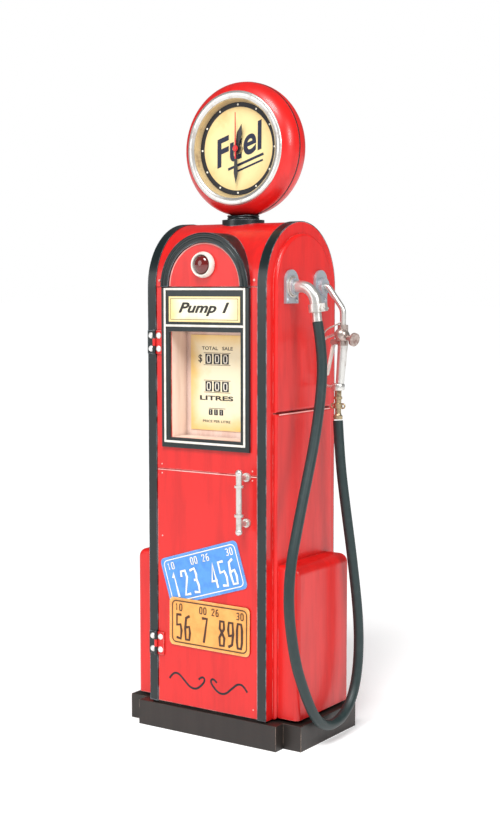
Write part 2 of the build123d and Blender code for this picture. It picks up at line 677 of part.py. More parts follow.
with BuildPart() as minute_hand:
    with BuildSketch(hand_plane(MINUTE_BACK, 180)):
        Circle(2 * MINUTE_SHAFT_RADIUS)
        Polygon((-0.9, 0), (0.9, 0), (2.4, 0.7 * MINUTE_HAND_LENGTH), (0, MINUTE_HAND_LENGTH),
                (-2.4, 0.7 * MINUTE_HAND_LENGTH), align=None)
    extrude(amount=HAND_THICKNESS)
    disc(MINUTE_SHAFT_END, MINUTE_BACK, MINUTE_SHAFT_RADIUS)
    disc(MINUTE_SHAFT_END, MINUTE_BACK - HAND_THICKNESS, SECOND_PIN_RADIUS + RUNNING_CLEARANCE, Mode.SUBTRACT)
save(minute_hand, "minute_hand")

with BuildPart() as second_hand:
    with BuildSketch(hand_plane(SECOND_BACK, 0)):
        Circle(3)
        Polygon((-0.8, -10), (0.8, -10), (0.35, SECOND_HAND_LENGTH), (-0.35, SECOND_HAND_LENGTH), align=None)
    extrude(amount=HAND_THICKNESS)
    disc(MINUTE_SHAFT_END - 1, SECOND_BACK, SECOND_PIN_RADIUS)
    disc(SECOND_BACK - HAND_THICKNESS, SECOND_BACK - 2.5 * HAND_THICKNESS, 2.2)
save(second_hand, "second_hand")

with BuildPart() as set_knob:
    disc(MOVEMENT_BACK + SEAT_GAP + KNOB_THICKNESS, MOVEMENT_BACK + SEAT_GAP, KNOB_RADIUS)
    chamfer(set_knob.faces().sort_by(Axis.Y)[-1].edges(), 0.6)
    disc(MOVEMENT_BACK + SEAT_GAP, KNOB_SHAFT_END + SEAT_GAP, MINUTE_SHAFT_RADIUS)
save(set_knob, "set_knob")

# --- Door ---
SKIN_BACK = FRONT + SHEET
FRAME_FRONT = FRONT - FRAME_THICKNESS

with BuildPart() as door_panel:
    with BuildSketch(front_plane(FRONT)):
        strip(-DOOR_HALF_WIDTH, DOOR_HALF_WIDTH, DOOR_BOTTOM, DOOR_TOP)
    extrude(amount=-DOOR_RETURN)
    with BuildSketch(front_plane(SKIN_BACK)):
        strip(-DOOR_HALF_WIDTH + SHEET, DOOR_HALF_WIDTH - SHEET, DOOR_BOTTOM + SHEET, DOOR_TOP - SHEET)
    extrude(amount=-DOOR_RETURN, mode=Mode.SUBTRACT)
    with BuildSketch(front_plane(FRONT)):
        strip(-WINDOW_HALF_WIDTH, WINDOW_HALF_WIDTH, WINDOW_BOTTOM, WINDOW_TOP)
    extrude(amount=-SHEET, mode=Mode.SUBTRACT)
    with BuildSketch(front_plane(FRONT)):
        seam_low = DOOR_SEAM_HEIGHT - DOOR_SEAM_GAP / 2
        strip(-DOOR_HALF_WIDTH, DOOR_HALF_WIDTH, seam_low, seam_low + DOOR_SEAM_GAP)
    extrude(amount=-SHEET / 2, mode=Mode.SUBTRACT)
save(door_panel, "door_panel")

with BuildPart() as display_box:
    with BuildSketch(front_plane(SKIN_BACK)):
        strip(-WINDOW_HALF_WIDTH - RECESS_FLANGE, WINDOW_HALF_WIDTH + RECESS_FLANGE,
              WINDOW_BOTTOM - RECESS_FLANGE, WINDOW_TOP + RECESS_FLANGE)
    extrude(amount=-THIN_SHEET)
    with BuildSketch(front_plane(SKIN_BACK)):
        strip(-WINDOW_HALF_WIDTH - THIN_SHEET, WINDOW_HALF_WIDTH + THIN_SHEET,
              WINDOW_BOTTOM - THIN_SHEET, WINDOW_TOP + THIN_SHEET)
    extrude(amount=-(RECESS_DEPTH - SHEET + THIN_SHEET))
    with BuildSketch(front_plane(SKIN_BACK)):
        strip(-WINDOW_HALF_WIDTH, WINDOW_HALF_WIDTH, WINDOW_BOTTOM, WINDOW_TOP)
    extrude(amount=-(RECESS_DEPTH - SHEET), mode=Mode.SUBTRACT)
save(display_box, "display_box")

with BuildPart() as register_card:
    with BuildSketch(front_plane(FRONT + RECESS_DEPTH)):
        strip(-CARD_HALF_WIDTH, CARD_HALF_WIDTH, CARD_BOTTOM, CARD_TOP)
    extrude(amount=CARD_THICKNESS)
save(register_card, "register_card")

with BuildPart() as window_frame:
    with BuildSketch(front_plane(FRONT)):
        strip(-FRAME_HALF_WIDTH, FRAME_HALF_WIDTH, FRAME_BOTTOM, DOOR_TOP)
        strip(-WINDOW_HALF_WIDTH, WINDOW_HALF_WIDTH, WINDOW_BOTTOM, WINDOW_TOP, Mode.SUBTRACT)
    extrude(amount=FRAME_THICKNESS)
    fillet(window_frame.faces().sort_by(Axis.Y)[0].edges(), THIN_SHEET)
save(window_frame, "window_frame")

with BuildPart() as window_bead:
    with BuildSketch(front_plane(FRAME_FRONT)):
        outer, inner = BEAD_HALF_WIDTH + BEAD_WIDTH / 2, BEAD_HALF_WIDTH - BEAD_WIDTH / 2
        strip(-outer, outer, BEAD_BOTTOM - BEAD_WIDTH / 2, BEAD_TOP)
        strip(-inner, inner, BEAD_BOTTOM + BEAD_WIDTH / 2, BEAD_TOP - BEAD_WIDTH, Mode.SUBTRACT)
        strip(-inner, inner, BEAD_CROSSBAR - BEAD_WIDTH / 2, BEAD_CROSSBAR + BEAD_WIDTH / 2)
    extrude(amount=BEAD_RISE)
save(window_bead, "window_bead")

with BuildPart() as sign_panel:
    with BuildSketch(front_plane(FRAME_FRONT)):
        strip(-SIGN_HALF_WIDTH, SIGN_HALF_WIDTH, SIGN_BOTTOM, SIGN_TOP)
    extrude(amount=SIGN_RISE)
save(sign_panel, "sign_panel")

# --- Door handle: a bar on two posts, cast in one ---
HANDLE_Y = FRONT - HANDLE_STANDOFF


def bar_round(bottom, top, radius):
    """A round of the handle's bar between two heights."""
    with BuildSketch(Plane.XY.offset(bottom)) as ring:
        with Locations((HANDLE_X, HANDLE_Y)):
            Circle(radius)
    extrude(ring.sketch, amount=top - bottom)


with BuildPart() as door_handle:
    bar_round(HANDLE_BOTTOM + HANDLE_BALL_RADIUS, HANDLE_TOP - HANDLE_BALL_RADIUS, HANDLE_RADIUS)
    for z in HANDLE_COLLAR_HEIGHTS:
        bar_round(z - HANDLE_COLLAR_THICKNESS / 2, z + HANDLE_COLLAR_THICKNESS / 2, HANDLE_COLLAR_RADIUS)
    for z in (HANDLE_BOTTOM + HANDLE_BALL_RADIUS, HANDLE_TOP - HANDLE_BALL_RADIUS):
        with Locations((HANDLE_X, HANDLE_Y, z)):
            Sphere(HANDLE_BALL_RADIUS)
    for radius, reach in ((HANDLE_POST_RADIUS, HANDLE_STANDOFF), (HANDLE_ROSE_RADIUS, HANDLE_ROSE_THICKNESS)):
        with BuildSketch(front_plane(FRONT)) as feet:
            with Locations([(HANDLE_X, z) for z in HANDLE_POST_HEIGHTS]):
                Circle(radius)
        extrude(feet.sketch, amount=reach)
save(door_handle, "door_handle")


# --- Number plates, embossed, the orange one over the blue one ---
def number_plate(centre, turn, back):
    """A thin plate with a raised rim, turned on the door."""
    with BuildPart() as plate:
        with BuildSketch(front_plane(back)):
            with Locations(centre):
                RectangleRounded(PLATE_LENGTH, PLATE_HEIGHT, PLATE_CORNER_RADIUS, rotation=turn)
        extrude(amount=THIN_SHEET)
        with BuildSketch(front_plane(back - THIN_SHEET)):
            with Locations(centre):
                RectangleRounded(PLATE_LENGTH - 3, PLATE_HEIGHT - 3, PLATE_CORNER_RADIUS - 1.5, rotation=turn)
        extrude(amount=-THIN_SHEET / 3, mode=Mode.SUBTRACT)
    return plate


blue_plate = number_plate(BLUE_PLATE_CENTRE, BLUE_PLATE_TURN, FRONT)
save(blue_plate, "blue_plate")
orange_plate = number_plate(ORANGE_PLATE_CENTRE, ORANGE_PLATE_TURN, FRONT - THIN_SHEET)
save(orange_plate, "orange_plate")

# --- Hinges: three knuckles each, the middle one on the door ---
LEAF_FRONT = FRONT - 2 * THIN_SHEET
KNUCKLE_THIRD = HINGE_LEAF_HEIGHT / 3
HINGE_CLEAR_RADIUS = HINGE_KNUCKLE_RADIUS + SEAT_GAP


def upright(bottom, top, radius, mode=Mode.ADD):
    """A round on the hinge axis between two heights."""
    with BuildSketch(Plane.XY.offset(bottom)) as ring:
        with Locations((HINGE_X, HINGE_Y)):
            Circle(radius)
    extrude(ring.sketch, amount=top - bottom, mode=mode)


def leaf_plate(left, right, back, low):
    """A hinge leaf as a flat plate from its back to the leaves' common front."""
    with BuildSketch(front_plane(back)) as plate:
        strip(left, right, low, low + HINGE_LEAF_HEIGHT)
    extrude(plate.sketch, amount=back - LEAF_FRONT)


with BuildPart() as hinge_frame_leaves:
    for height in HINGE_HEIGHTS:
        low = height - HINGE_LEAF_HEIGHT / 2
        leaf_plate(HINGE_X - HINGE_LEAF_WIDTH, HINGE_X - SEAT_GAP, FRONT - THIN_SHEET, low)
        gap_low, gap_high = low + KNUCKLE_THIRD - SEAT_GAP, low + 2 * KNUCKLE_THIRD + SEAT_GAP
        upright(gap_low, gap_high, HINGE_CLEAR_RADIUS, Mode.SUBTRACT)
        for start in (low, low + 2 * KNUCKLE_THIRD + SEAT_GAP):
            upright(start, start + KNUCKLE_THIRD - SEAT_GAP, HINGE_KNUCKLE_RADIUS)
        upright(low, low + HINGE_LEAF_HEIGHT, HINGE_PIN_RADIUS + RUNNING_CLEARANCE, Mode.SUBTRACT)
save(hinge_frame_leaves, "hinge_frame_leaves")

with BuildPart() as hinge_door_leaves:
    for height in HINGE_HEIGHTS:
        low = height - HINGE_LEAF_HEIGHT / 2
        leaf_plate(HINGE_X + SEAT_GAP, HINGE_X + HINGE_LEAF_WIDTH, FRONT, low)
        with BuildSketch(front_plane(FRONT)) as step:
            strip(HINGE_X, -DOOR_HALF_WIDTH, low, low + HINGE_LEAF_HEIGHT)
        extrude(step.sketch, amount=THIN_SHEET + SEAT_GAP, mode=Mode.SUBTRACT)
        for start in (low, low + 2 * KNUCKLE_THIRD):
            upright(start - SEAT_GAP, start + KNUCKLE_THIRD + SEAT_GAP, HINGE_CLEAR_RADIUS, Mode.SUBTRACT)
        upright(low + KNUCKLE_THIRD + SEAT_GAP, low + 2 * KNUCKLE_THIRD - SEAT_GAP, HINGE_KNUCKLE_RADIUS)
        upright(low, low + HINGE_LEAF_HEIGHT, HINGE_PIN_RADIUS + RUNNING_CLEARANCE, Mode.SUBTRACT)
save(hinge_door_leaves, "hinge_door_leaves")

with BuildPart() as hinge_pins:
    for height in HINGE_HEIGHTS:
        low, high = height - HINGE_LEAF_HEIGHT / 2, height + HINGE_LEAF_HEIGHT / 2
        upright(low, high, HINGE_PIN_RADIUS)
        upright(low - HINGE_PIN_RADIUS, low, 1.7 * HINGE_PIN_RADIUS)
        upright(high, high + HINGE_PIN_RADIUS, 1.7 * HINGE_PIN_RADIUS)
save(hinge_pins, "hinge_pins")


def hinge_rivets(side):
    """The two dome rivets of each hinge on one side of its axis."""
    with BuildPart() as rivets:
        for height in HINGE_HEIGHTS:
            for z in (height - HINGE_RIVET_SPACING / 2, height + HINGE_RIVET_SPACING / 2):
                dome(HINGE_X + side * HINGE_RIVET_OFFSET, LEAF_FRONT, z, HINGE_RIVET_RADIUS, 2.0)
    return rivets


save(hinge_rivets(-1), "hinge_frame_rivets")
save(hinge_rivets(1), "hinge_door_rivets")

# --- Magnetic catch inside the cabinet, and its striker on the door ---
CATCH_FRONT = FRONT + DOOR_RETURN + DOOR_GAP
CATCH_LEFT = HALF_WIDTH - SHEET - CATCH_SIZE[0]

with BuildPart() as catch_magnet:
    with BuildSketch(front_plane(CATCH_FRONT)):
        catch_low = CATCH_HEIGHT - CATCH_SIZE[2] / 2
        strip(CATCH_LEFT, HALF_WIDTH - SHEET, catch_low, catch_low + CATCH_SIZE[2])
    extrude(amount=-CATCH_SIZE[1])
save(catch_magnet, "catch_magnet")

with BuildPart() as striker_plate:
    with BuildSketch(front_plane(SKIN_BACK)):
        strip(CATCH_LEFT + 1, CATCH_LEFT + 9, CATCH_HEIGHT - 6, CATCH_HEIGHT + 6)
    extrude(amount=-(CATCH_FRONT - SEAT_GAP - SKIN_BACK))
    with BuildSketch(front_plane(SKIN_BACK)):
        strip(CATCH_LEFT + 2, CATCH_LEFT + 8, CATCH_HEIGHT - 6, CATCH_HEIGHT + 6)
    extrude(amount=-(CATCH_FRONT - SEAT_GAP - SKIN_BACK - THIN_SHEET), mode=Mode.SUBTRACT)
save(striker_plate, "striker_plate")


# --- Outlet and nozzle socket on the right side ---
def flange_plate(y):
    """A flange with a round top and a boss, standing on the raised side panel."""
    half = FLANGE_PLATE_WIDTH / 2
    top = FITTING_HEIGHT + FLANGE_PLATE_HEIGHT / 2
    with BuildSketch(side_plane(PANEL_FACE)) as plate:
        strip(y - half, y + half, top - FLANGE_PLATE_HEIGHT, top - half)
        with Locations((y, top - half)):
            Circle(half)
    extrude(plate.sketch, amount=FLANGE_PLATE_THICKNESS)
    with BuildSketch(side_plane(PANEL_FACE)) as boss:
        with Locations((y, FITTING_HEIGHT)):
            Circle(FLANGE_BOSS_RADIUS)
    extrude(boss.sketch, amount=FLANGE_PLATE_THICKNESS + FLANGE_BOSS_LENGTH)


with BuildPart() as outlet_flange:
    flange_plate(OUTLET_Y)
    with BuildSketch(side_plane(PANEL_FACE)):
        with Locations((OUTLET_Y, FITTING_HEIGHT)):
            Circle(ELBOW_RADIUS + RUNNING_CLEARANCE)
    extrude(amount=FLANGE_PLATE_THICKNESS + FLANGE_BOSS_LENGTH, mode=Mode.SUBTRACT)
save(outlet_flange, "outlet_flange")

CUP_END = FITTING_FACE - SPOUT_INSERTION - 3

with BuildPart() as socket_flange:
    flange_plate(SOCKET_Y)
    with BuildSketch(side_plane(CUP_END)):
        with Locations((SOCKET_Y, FITTING_HEIGHT)):
            Circle(CUP_RADIUS)
    extrude(amount=PANEL_FACE - CUP_END)
    with BuildSketch(side_plane(CUP_END + SHEET)):
        with Locations((SOCKET_Y, FITTING_HEIGHT)):
            Circle(BORE_RADIUS)
    extrude(amount=FITTING_FACE - CUP_END, mode=Mode.SUBTRACT)
save(socket_flange, "socket_flange")

with BuildPart() as flange_screws:
    for y in (OUTLET_Y, SOCKET_Y):
        for dy, dz in ((-7.6, -12.4), (7.6, -12.4)):
            dome(PANEL_FACE + FLANGE_PLATE_THICKNESS, y + dy, FITTING_HEIGHT + dz, 2.0, 1.2, (0, 90, 0))
save(flange_screws, "flange_screws")

HOSE_START = Vector(*HOSE_ROUTE[0])
HOSE_DOWN = Vector(HOSE_ROUTE[1][0] - HOSE_ROUTE[0][0], 0, HOSE_ROUTE[1][2] - HOSE_ROUTE[0][2]).normalized()
ELBOW_END = HOSE_START - HOSE_DOWN * FERRULE_LENGTH
ELBOW_CORNER = HOSE_START + HOSE_DOWN * ((FITTING_HEIGHT - HOSE_START.Z) / HOSE_DOWN.Z)

with BuildPart() as outlet_elbow:
    with BuildLine() as elbow_path:
        FilletPolyline((PANEL_FACE - 6, OUTLET_Y, FITTING_HEIGHT), ELBOW_CORNER, ELBOW_END, radius=ELBOW_BEND)
    with BuildSketch(side_plane(PANEL_FACE - 6)):
        with Locations((OUTLET_Y, FITTING_HEIGHT)):
            Circle(ELBOW_RADIUS)
            Circle(ELBOW_RADIUS - SHEET, mode=Mode.SUBTRACT)
    sweep(path=elbow_path.line)
save(outlet_elbow, "outlet_elbow")

with BuildPart() as outlet_ferrule:
    with BuildSketch(Plane(origin=ELBOW_END, z_dir=HOSE_DOWN)):
        Circle(FERRULE_RADIUS)
    extrude(amount=FERRULE_LENGTH)
save(outlet_ferrule, "outlet_ferrule")

with BuildPart() as hose_clamp:
    with BuildSketch(Plane(origin=ELBOW_END, x_dir=(1, 0, 0), z_dir=-HOSE_DOWN)) as band:
        Circle(CLAMP_RADIUS)
        with Locations(((CLAMP_RADIUS + CLAMP_LUG[0]) / 2, 0)):
            Rectangle(CLAMP_RADIUS + CLAMP_LUG[0], CLAMP_LUG[1])
        Circle(ELBOW_RADIUS, mode=Mode.SUBTRACT)
    extrude(amount=CLAMP_WIDTH)
    with BuildSketch(front_plane(OUTLET_Y + CLAMP_LUG[1])) as bolt:
        with Locations((ELBOW_END.X + CLAMP_RADIUS + CLAMP_LUG[0] / 2, ELBOW_END.Z + CLAMP_WIDTH / 2)):
            Circle(SCREW_RADIUS)
    extrude(bolt.sketch, amount=2 * CLAMP_LUG[1])
save(hose_clamp, "hose_clamp")

# --- Hose: straight runs joined by arcs as large as the runs allow ---
route = [Vector(*point) for point in HOSE_ROUTE]
radii = []
for before, here, after in zip(route, route[1:], route[2:]):
    first, second = here - before, after - here
    half_turn = radians(first.get_angle(second)) / 2
    radii.append(0.45 * min(first.length, second.length) / tan(half_turn))
print("hose bend radii:", [round(radius) for radius in radii])

with BuildPart() as hose:
    with BuildLine() as hose_path:
        FilletPolyline(*route, radius=radii)
    with BuildSketch(Plane(origin=route[0], z_dir=route[1] - route[0])):
        Circle(HOSE_RADIUS)
    sweep(path=hose_path.line)
hose_length = sum(edge.length for edge in hose_path.edges())
print("hose length:", round(hose_length, 1), "volume ratio:",
      round(hose.part.volume / (Circle(HOSE_RADIUS, mode=Mode.PRIVATE).area * hose_length), 4))
save(hose, "hose")

# --- Nozzle, hung by its spout ---
SPOUT_TIP = FITTING_FACE - SPOUT_INSERTION
VALVE_TOP = VALVE_HEIGHT + VALVE_RADIUS + 4
VALVE_BOTTOM = VALVE_HEIGHT - VALVE_RADIUS - 2.5


def nozzle_round(x, bottom, top, radius, mode=Mode.ADD):
    """An upright round of the nozzle between two heights."""
    with BuildSketch(Plane.XY.offset(bottom)) as ring:
        with Locations((x, SOCKET_Y)):
            Circle(radius)
    extrude(ring.sketch, amount=top - bottom, mode=mode)


with BuildPart() as nozzle_spout:
    with BuildLine() as spout_path:
        FilletPolyline(
            (SPOUT_TIP, SOCKET_Y, FITTING_HEIGHT),
            (SPOUT_KNEE[0], SOCKET_Y, SPOUT_KNEE[1]),
            (SPOUT_ELBOW[0], SOCKET_Y, SPOUT_ELBOW[1]),
            (VALVE_X, SOCKET_Y, VALVE_TOP),
            radius=SPOUT_BENDS,
        )
    with BuildSketch(side_plane(SPOUT_TIP)):
        with Locations((SOCKET_Y, FITTING_HEIGHT)):
            Circle(SPOUT_RADIUS)
            Circle(SPOUT_RADIUS - THIN_SHEET, mode=Mode.SUBTRACT)
    sweep(path=spout_path.line)
save(nozzle_spout, "nozzle_spout")

CHEEK_INNER = LEVER_WIDTH / 2 + SEAT_GAP

with BuildPart() as valve_body:
    with Locations((VALVE_X, SOCKET_Y, VALVE_HEIGHT)):
        Sphere(VALVE_RADIUS)
    nozzle_round(VALVE_X, VALVE_HEIGHT, VALVE_TOP, VALVE_NECK_RADIUS)
    nozzle_round(VALVE_X, VALVE_BOTTOM, VALVE_HEIGHT, VALVE_NECK_RADIUS)
    with BuildSketch(front_plane(SOCKET_Y + CHEEK_INNER + SHEET)) as cheek:
        with Locations(LEVER_PIVOT):
            Circle(2 * PIVOT_RADIUS)
        strip(LEVER_PIVOT[0], VALVE_X, LEVER_PIVOT[1] - 2, LEVER_PIVOT[1] + 3)
    extrude(cheek.sketch, amount=SHEET)
    extrude(cheek.sketch.moved(Location((0, -(2 * CHEEK_INNER + SHEET), 0))), amount=SHEET)
    with BuildSketch(front_plane(SOCKET_Y + CHEEK_INNER + SHEET)) as pivot:
        with Locations(LEVER_PIVOT):
            Circle(PIVOT_RADIUS)
    extrude(pivot.sketch, amount=2 * (CHEEK_INNER + SHEET))
save(valve_body, "valve_body")

CAP_DIRECTION = Vector(cos(radians(CAP_TURN)), -sin(radians(CAP_TURN)), -tan(radians(CAP_DROP))).normalized()
VALVE_CENTRE = Vector(VALVE_X, SOCKET_Y, VALVE_HEIGHT)
STEM_START = VALVE_RADIUS - SEAT_DEPTH

with BuildPart() as valve_cap:
    with BuildSketch(Plane(origin=VALVE_CENTRE + CAP_DIRECTION * STEM_START, z_dir=CAP_DIRECTION)):
        Circle(CAP_STEM_RADIUS)
    extrude(amount=CAP_REACH - STEM_START)
    with BuildSketch(Plane(origin=VALVE_CENTRE + CAP_DIRECTION * CAP_REACH, z_dir=CAP_DIRECTION)):
        Circle(CAP_RADIUS)
    extrude(amount=CAP_THICKNESS)
save(valve_cap, "valve_cap")

with BuildPart() as nozzle_grip:
    with BuildSketch(Plane.XY.offset(GRIP_BOTTOM[1])):
        with Locations((GRIP_BOTTOM[0], SOCKET_Y)):
            Circle(GRIP_BOTTOM_RADIUS)
    with BuildSketch(Plane.XY.offset(VALVE_BOTTOM)):
        with Locations((VALVE_X, SOCKET_Y)):
            Circle(GRIP_TOP_RADIUS)
    loft()
save(nozzle_grip, "nozzle_grip")

with BuildPart() as hose_swivel:
    nozzle_round(SWIVEL_X, SWIVEL_BOTTOM, GRIP_BOTTOM[1], SWIVEL_NECK_RADIUS)
    for low, high, radius in SWIVEL_RINGS:
        nozzle_round(SWIVEL_X, low, high, radius)
    with BuildSketch(Plane.XY.offset(SWIVEL_NUT_BOTTOM)) as nut:
        with Locations((SWIVEL_X, SOCKET_Y)):
            RegularPolygon(SWIVEL_NUT_RADIUS, 6)
    extrude(nut.sketch, amount=SWIVEL_NUT_HEIGHT)
save(hose_swivel, "hose_swivel")

GUARD_POINTS = [
    (VALVE_X - 0.8 * VALVE_RADIUS, SOCKET_Y, VALVE_HEIGHT + 3),
    (GUARD_LEFT + 1, SOCKET_Y, VALVE_HEIGHT - 3),
    (GUARD_LEFT, SOCKET_Y, GUARD_BOTTOM + 1),
    (SWIVEL_X - 5, SOCKET_Y, GUARD_BOTTOM),
]

with BuildPart() as nozzle_guard:
    with BuildLine() as guard_path:
        FilletPolyline(*GUARD_POINTS, radius=GUARD_BEND)
    guard_start = Vector(*GUARD_POINTS[0])
    with BuildSketch(Plane(origin=guard_start, z_dir=Vector(*GUARD_POINTS[1]) - guard_start)):
        Circle(GUARD_RADIUS)
    sweep(path=guard_path.line)
save(nozzle_guard, "nozzle_guard")

with BuildPart() as nozzle_lever:
    with BuildSketch(front_plane(SOCKET_Y + LEVER_WIDTH / 2)):
        with Locations(LEVER_PIVOT):
            Circle(1.8 * PIVOT_RADIUS)
        half = LEVER_THICKNESS / 2
        Polygon(
            (LEVER_PIVOT[0] - 2 * half, LEVER_PIVOT[1]),
            (LEVER_END[0] - half, LEVER_END[1]),
            (LEVER_END[0] + half, LEVER_END[1]),
            (LEVER_PIVOT[0] + half, LEVER_PIVOT[1]),
            align=None,
        )
        with Locations(LEVER_PIVOT):
            Circle(PIVOT_RADIUS + RUNNING_CLEARANCE, mode=Mode.SUBTRACT)
    extrude(amount=LEVER_WIDTH)
save(nozzle_lever, "nozzle_lever")
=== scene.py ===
"""Looks of a painted sheet-metal fuel pump with a clock in its globe, built around its packed CAD frame."""
from math import cos, degrees, radians, sin

import bpy
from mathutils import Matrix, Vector


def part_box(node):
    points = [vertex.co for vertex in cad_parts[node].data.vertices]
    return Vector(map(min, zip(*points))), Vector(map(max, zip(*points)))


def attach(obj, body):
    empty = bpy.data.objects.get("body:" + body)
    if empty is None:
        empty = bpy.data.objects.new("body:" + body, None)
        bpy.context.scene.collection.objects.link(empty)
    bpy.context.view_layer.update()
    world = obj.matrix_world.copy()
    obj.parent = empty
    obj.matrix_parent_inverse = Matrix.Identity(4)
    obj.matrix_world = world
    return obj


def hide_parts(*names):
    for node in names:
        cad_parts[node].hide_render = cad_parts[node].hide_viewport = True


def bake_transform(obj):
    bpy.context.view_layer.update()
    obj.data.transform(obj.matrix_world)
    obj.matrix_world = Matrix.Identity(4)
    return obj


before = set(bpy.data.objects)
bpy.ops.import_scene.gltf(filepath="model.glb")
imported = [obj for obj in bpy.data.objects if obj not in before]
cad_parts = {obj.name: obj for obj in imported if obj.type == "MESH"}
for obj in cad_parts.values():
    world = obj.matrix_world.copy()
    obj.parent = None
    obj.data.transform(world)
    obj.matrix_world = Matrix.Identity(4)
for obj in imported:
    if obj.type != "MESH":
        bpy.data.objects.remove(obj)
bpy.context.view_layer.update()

bl_info = {
    "name": "Fuel Pump Replica",
    "version": (1, 0, 0),
    "blender": (4, 5, 0),
    "location": "3D View > Sidebar > Fuel Pump",
    "description": "Builds the painted metal, dial, hose and fittings of a small fuel pump around its frame",
    "category": "Object",
}

MM = 0.001
FORWARD = (0, -1, 0)
UPWARD = (0, 0, 1)


def mm(*lengths):
    """Millimetres as metres."""
    return tuple(length * MM for length in lengths)


# --- Places taken from the frame ---
def low(node):
    """Lowest corner of a CAD node."""
    return Vector(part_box(node)[0])


def high(node):
    """Highest corner of a CAD node."""
    return Vector(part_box(node)[1])


def middle(node):
    """Centre of a CAD node's box."""
    return (low(node) + high(node)) / 2


DOOR_FRONT = low("door_panel").y
CLOCK = Vector((0.0, low("clock_bezel").y, middle("clock_bezel").z))


# --- Modelling helpers ---
def deselect():
    """Leave edit mode and select nothing, because an operator acts on all that is selected."""
    if bpy.context.object and bpy.context.object.mode != "OBJECT":
        bpy.ops.object.mode_set(mode="OBJECT")
    bpy.ops.object.select_all(action="DESELECT")


def only(piece):
    """Make one object the selected and active one."""
    deselect()
    piece.select_set(True)
    bpy.context.view_layer.objects.active = piece
    return piece


def settle(piece):
    """Put a finished piece's place in its mesh, with its object at the origin."""
    only(piece)
    bpy.ops.object.transform_apply(location=True, rotation=True, scale=True)
    return piece


def edit_all(piece):
    """Enter edit mode with the whole mesh selected."""
    only(piece)
    bpy.ops.object.mode_set(mode="EDIT")
    bpy.ops.mesh.select_all(action="SELECT")


def leave_edit():
    bpy.ops.object.mode_set(mode="OBJECT")


def named(name):
    """Name the primitive that was just added."""
    piece = bpy.context.object
    piece.name = name
    piece.data.name = name
    return piece


def smooth(piece, angle=35.0):
    only(piece)
    bpy.ops.object.shade_smooth_by_angle(angle=radians(angle))
    return piece


def mend(piece):
    """Merge doubled points and turn every face outwards."""
    edit_all(piece)
    bpy.ops.mesh.remove_doubles(threshold=1e-6)
    bpy.ops.mesh.select_all(action="SELECT")
    bpy.ops.mesh.normals_make_consistent(inside=False)
    leave_edit()
    return piece


def turn_to(piece, axis, place):
    """Turn a piece that was made along +Z to the given axis, and move it to its place."""
    piece.rotation_mode = "QUATERNION"
    piece.rotation_quaternion = Vector(axis).to_track_quat("Z", "Y")
    piece.location = place
    return settle(piece)


def turned(name, steps, axis, place, segments=72, ring=False, angle=35.0):
    """A turned piece: a circle extruded and scaled through (radius, height) steps along its axis.

    Closed at both ends, or, as a ring, joined from its last step back to its first."""
    deselect()
    bpy.ops.mesh.primitive_circle_add(vertices=segments, radius=steps[0][0], location=(0, 0, steps[0][1]))
    piece = named(name)
    settle(piece)
    edit_all(piece)
    if not ring:
        bpy.ops.mesh.edge_face_add()
        bpy.ops.mesh.select_all(action="SELECT")
    for (radius, height), (next_radius, next_height) in zip(steps, steps[1:]):
        extrude = bpy.ops.mesh.extrude_edges_move if ring else bpy.ops.mesh.extrude_region_move
        extrude(TRANSFORM_OT_translate={"value": (0, 0, next_height - height)})
        factor = next_radius / radius
        bpy.ops.transform.resize(value=(factor, factor, 1), center_override=(0, 0, next_height))
    if ring:
        bpy.ops.mesh.select_all(action="SELECT")
        bpy.ops.mesh.region_to_loop()
        bpy.ops.mesh.bridge_edge_loops()
    leave_edit()
    mend(piece)
    turn_to(piece, axis, place)
    return smooth(piece, angle)


def arc(centre, radius, start, end, count):
    """Points (x, y) of a round stretch of an outline, angles in degrees."""
    turns = [radians(start + (end - start) * i / count) for i in range(count + 1)]
    return [(centre[0] + radius * cos(t), centre[1] + radius * sin(t)) for t in turns]


def block(name, lowest, highest, bevel=0.0003, segments=2):
    """A cube brought to its size and place, with its edges bevelled."""
    lowest, highest = Vector(lowest), Vector(highest)
    deselect()
    bpy.ops.mesh.primitive_cube_add(size=1, location=(lowest + highest) / 2)
    piece = named(name)
    piece.scale = highest - lowest
    settle(piece)
    edit_all(piece)
    bpy.ops.mesh.bevel(offset=bevel, segments=segments, affect="EDGES")
    leave_edit()
    return smooth(piece)


def face_front(piece, turn, place):
    """Stand up a piece that lies on its back, turn it clockwise on its face and move it to its place."""
    piece.rotation_euler = (radians(90), 0, 0)
    settle(piece)
    piece.rotation_euler = (0, radians(turn), 0)
    piece.location = place
    return settle(piece)


def slab(name, width, height, thickness, corner, place, turn=0.0, bevel=0.0003):
    """A plate facing the front with rounded corners, turned clockwise on its face, in metres."""
    deselect()
    bpy.ops.mesh.primitive_plane_add(size=1, location=(0, 0, 0))
    piece = named(name)
    piece.scale = (width, height, 1)
    settle(piece)
    edit_all(piece)
    if corner:
        bpy.ops.mesh.bevel(offset=corner, segments=6, affect="VERTICES")
    bpy.ops.mesh.select_all(action="SELECT")
    bpy.ops.mesh.extrude_region_move(TRANSFORM_OT_translate={"value": (0, 0, thickness)})
    if bevel:
        bpy.ops.mesh.bevel(offset=bevel, segments=2, affect="EDGES")
    leave_edit()
    return smooth(face_front(mend(piece), turn, place))


def joined(name, pieces):
    """Several meshes as one object."""
    deselect()
    for piece in pieces:
        piece.select_set(True)
    bpy.context.view_layer.objects.active = pieces[0]
    if len(pieces) > 1:
        bpy.ops.object.join()
    pieces[0].name = name
    pieces[0].data.name = name
    return pieces[0]


def dome(radius, skirt, rise, angles):
    """Steps of a dome: a straight skirt, and points at these angles of the crown that rises above it."""
    crown = [(radius * cos(radians(a)), skirt + rise * sin(radians(a))) for a in angles]
    return [(radius, 0.0), (radius, skirt), *crown]


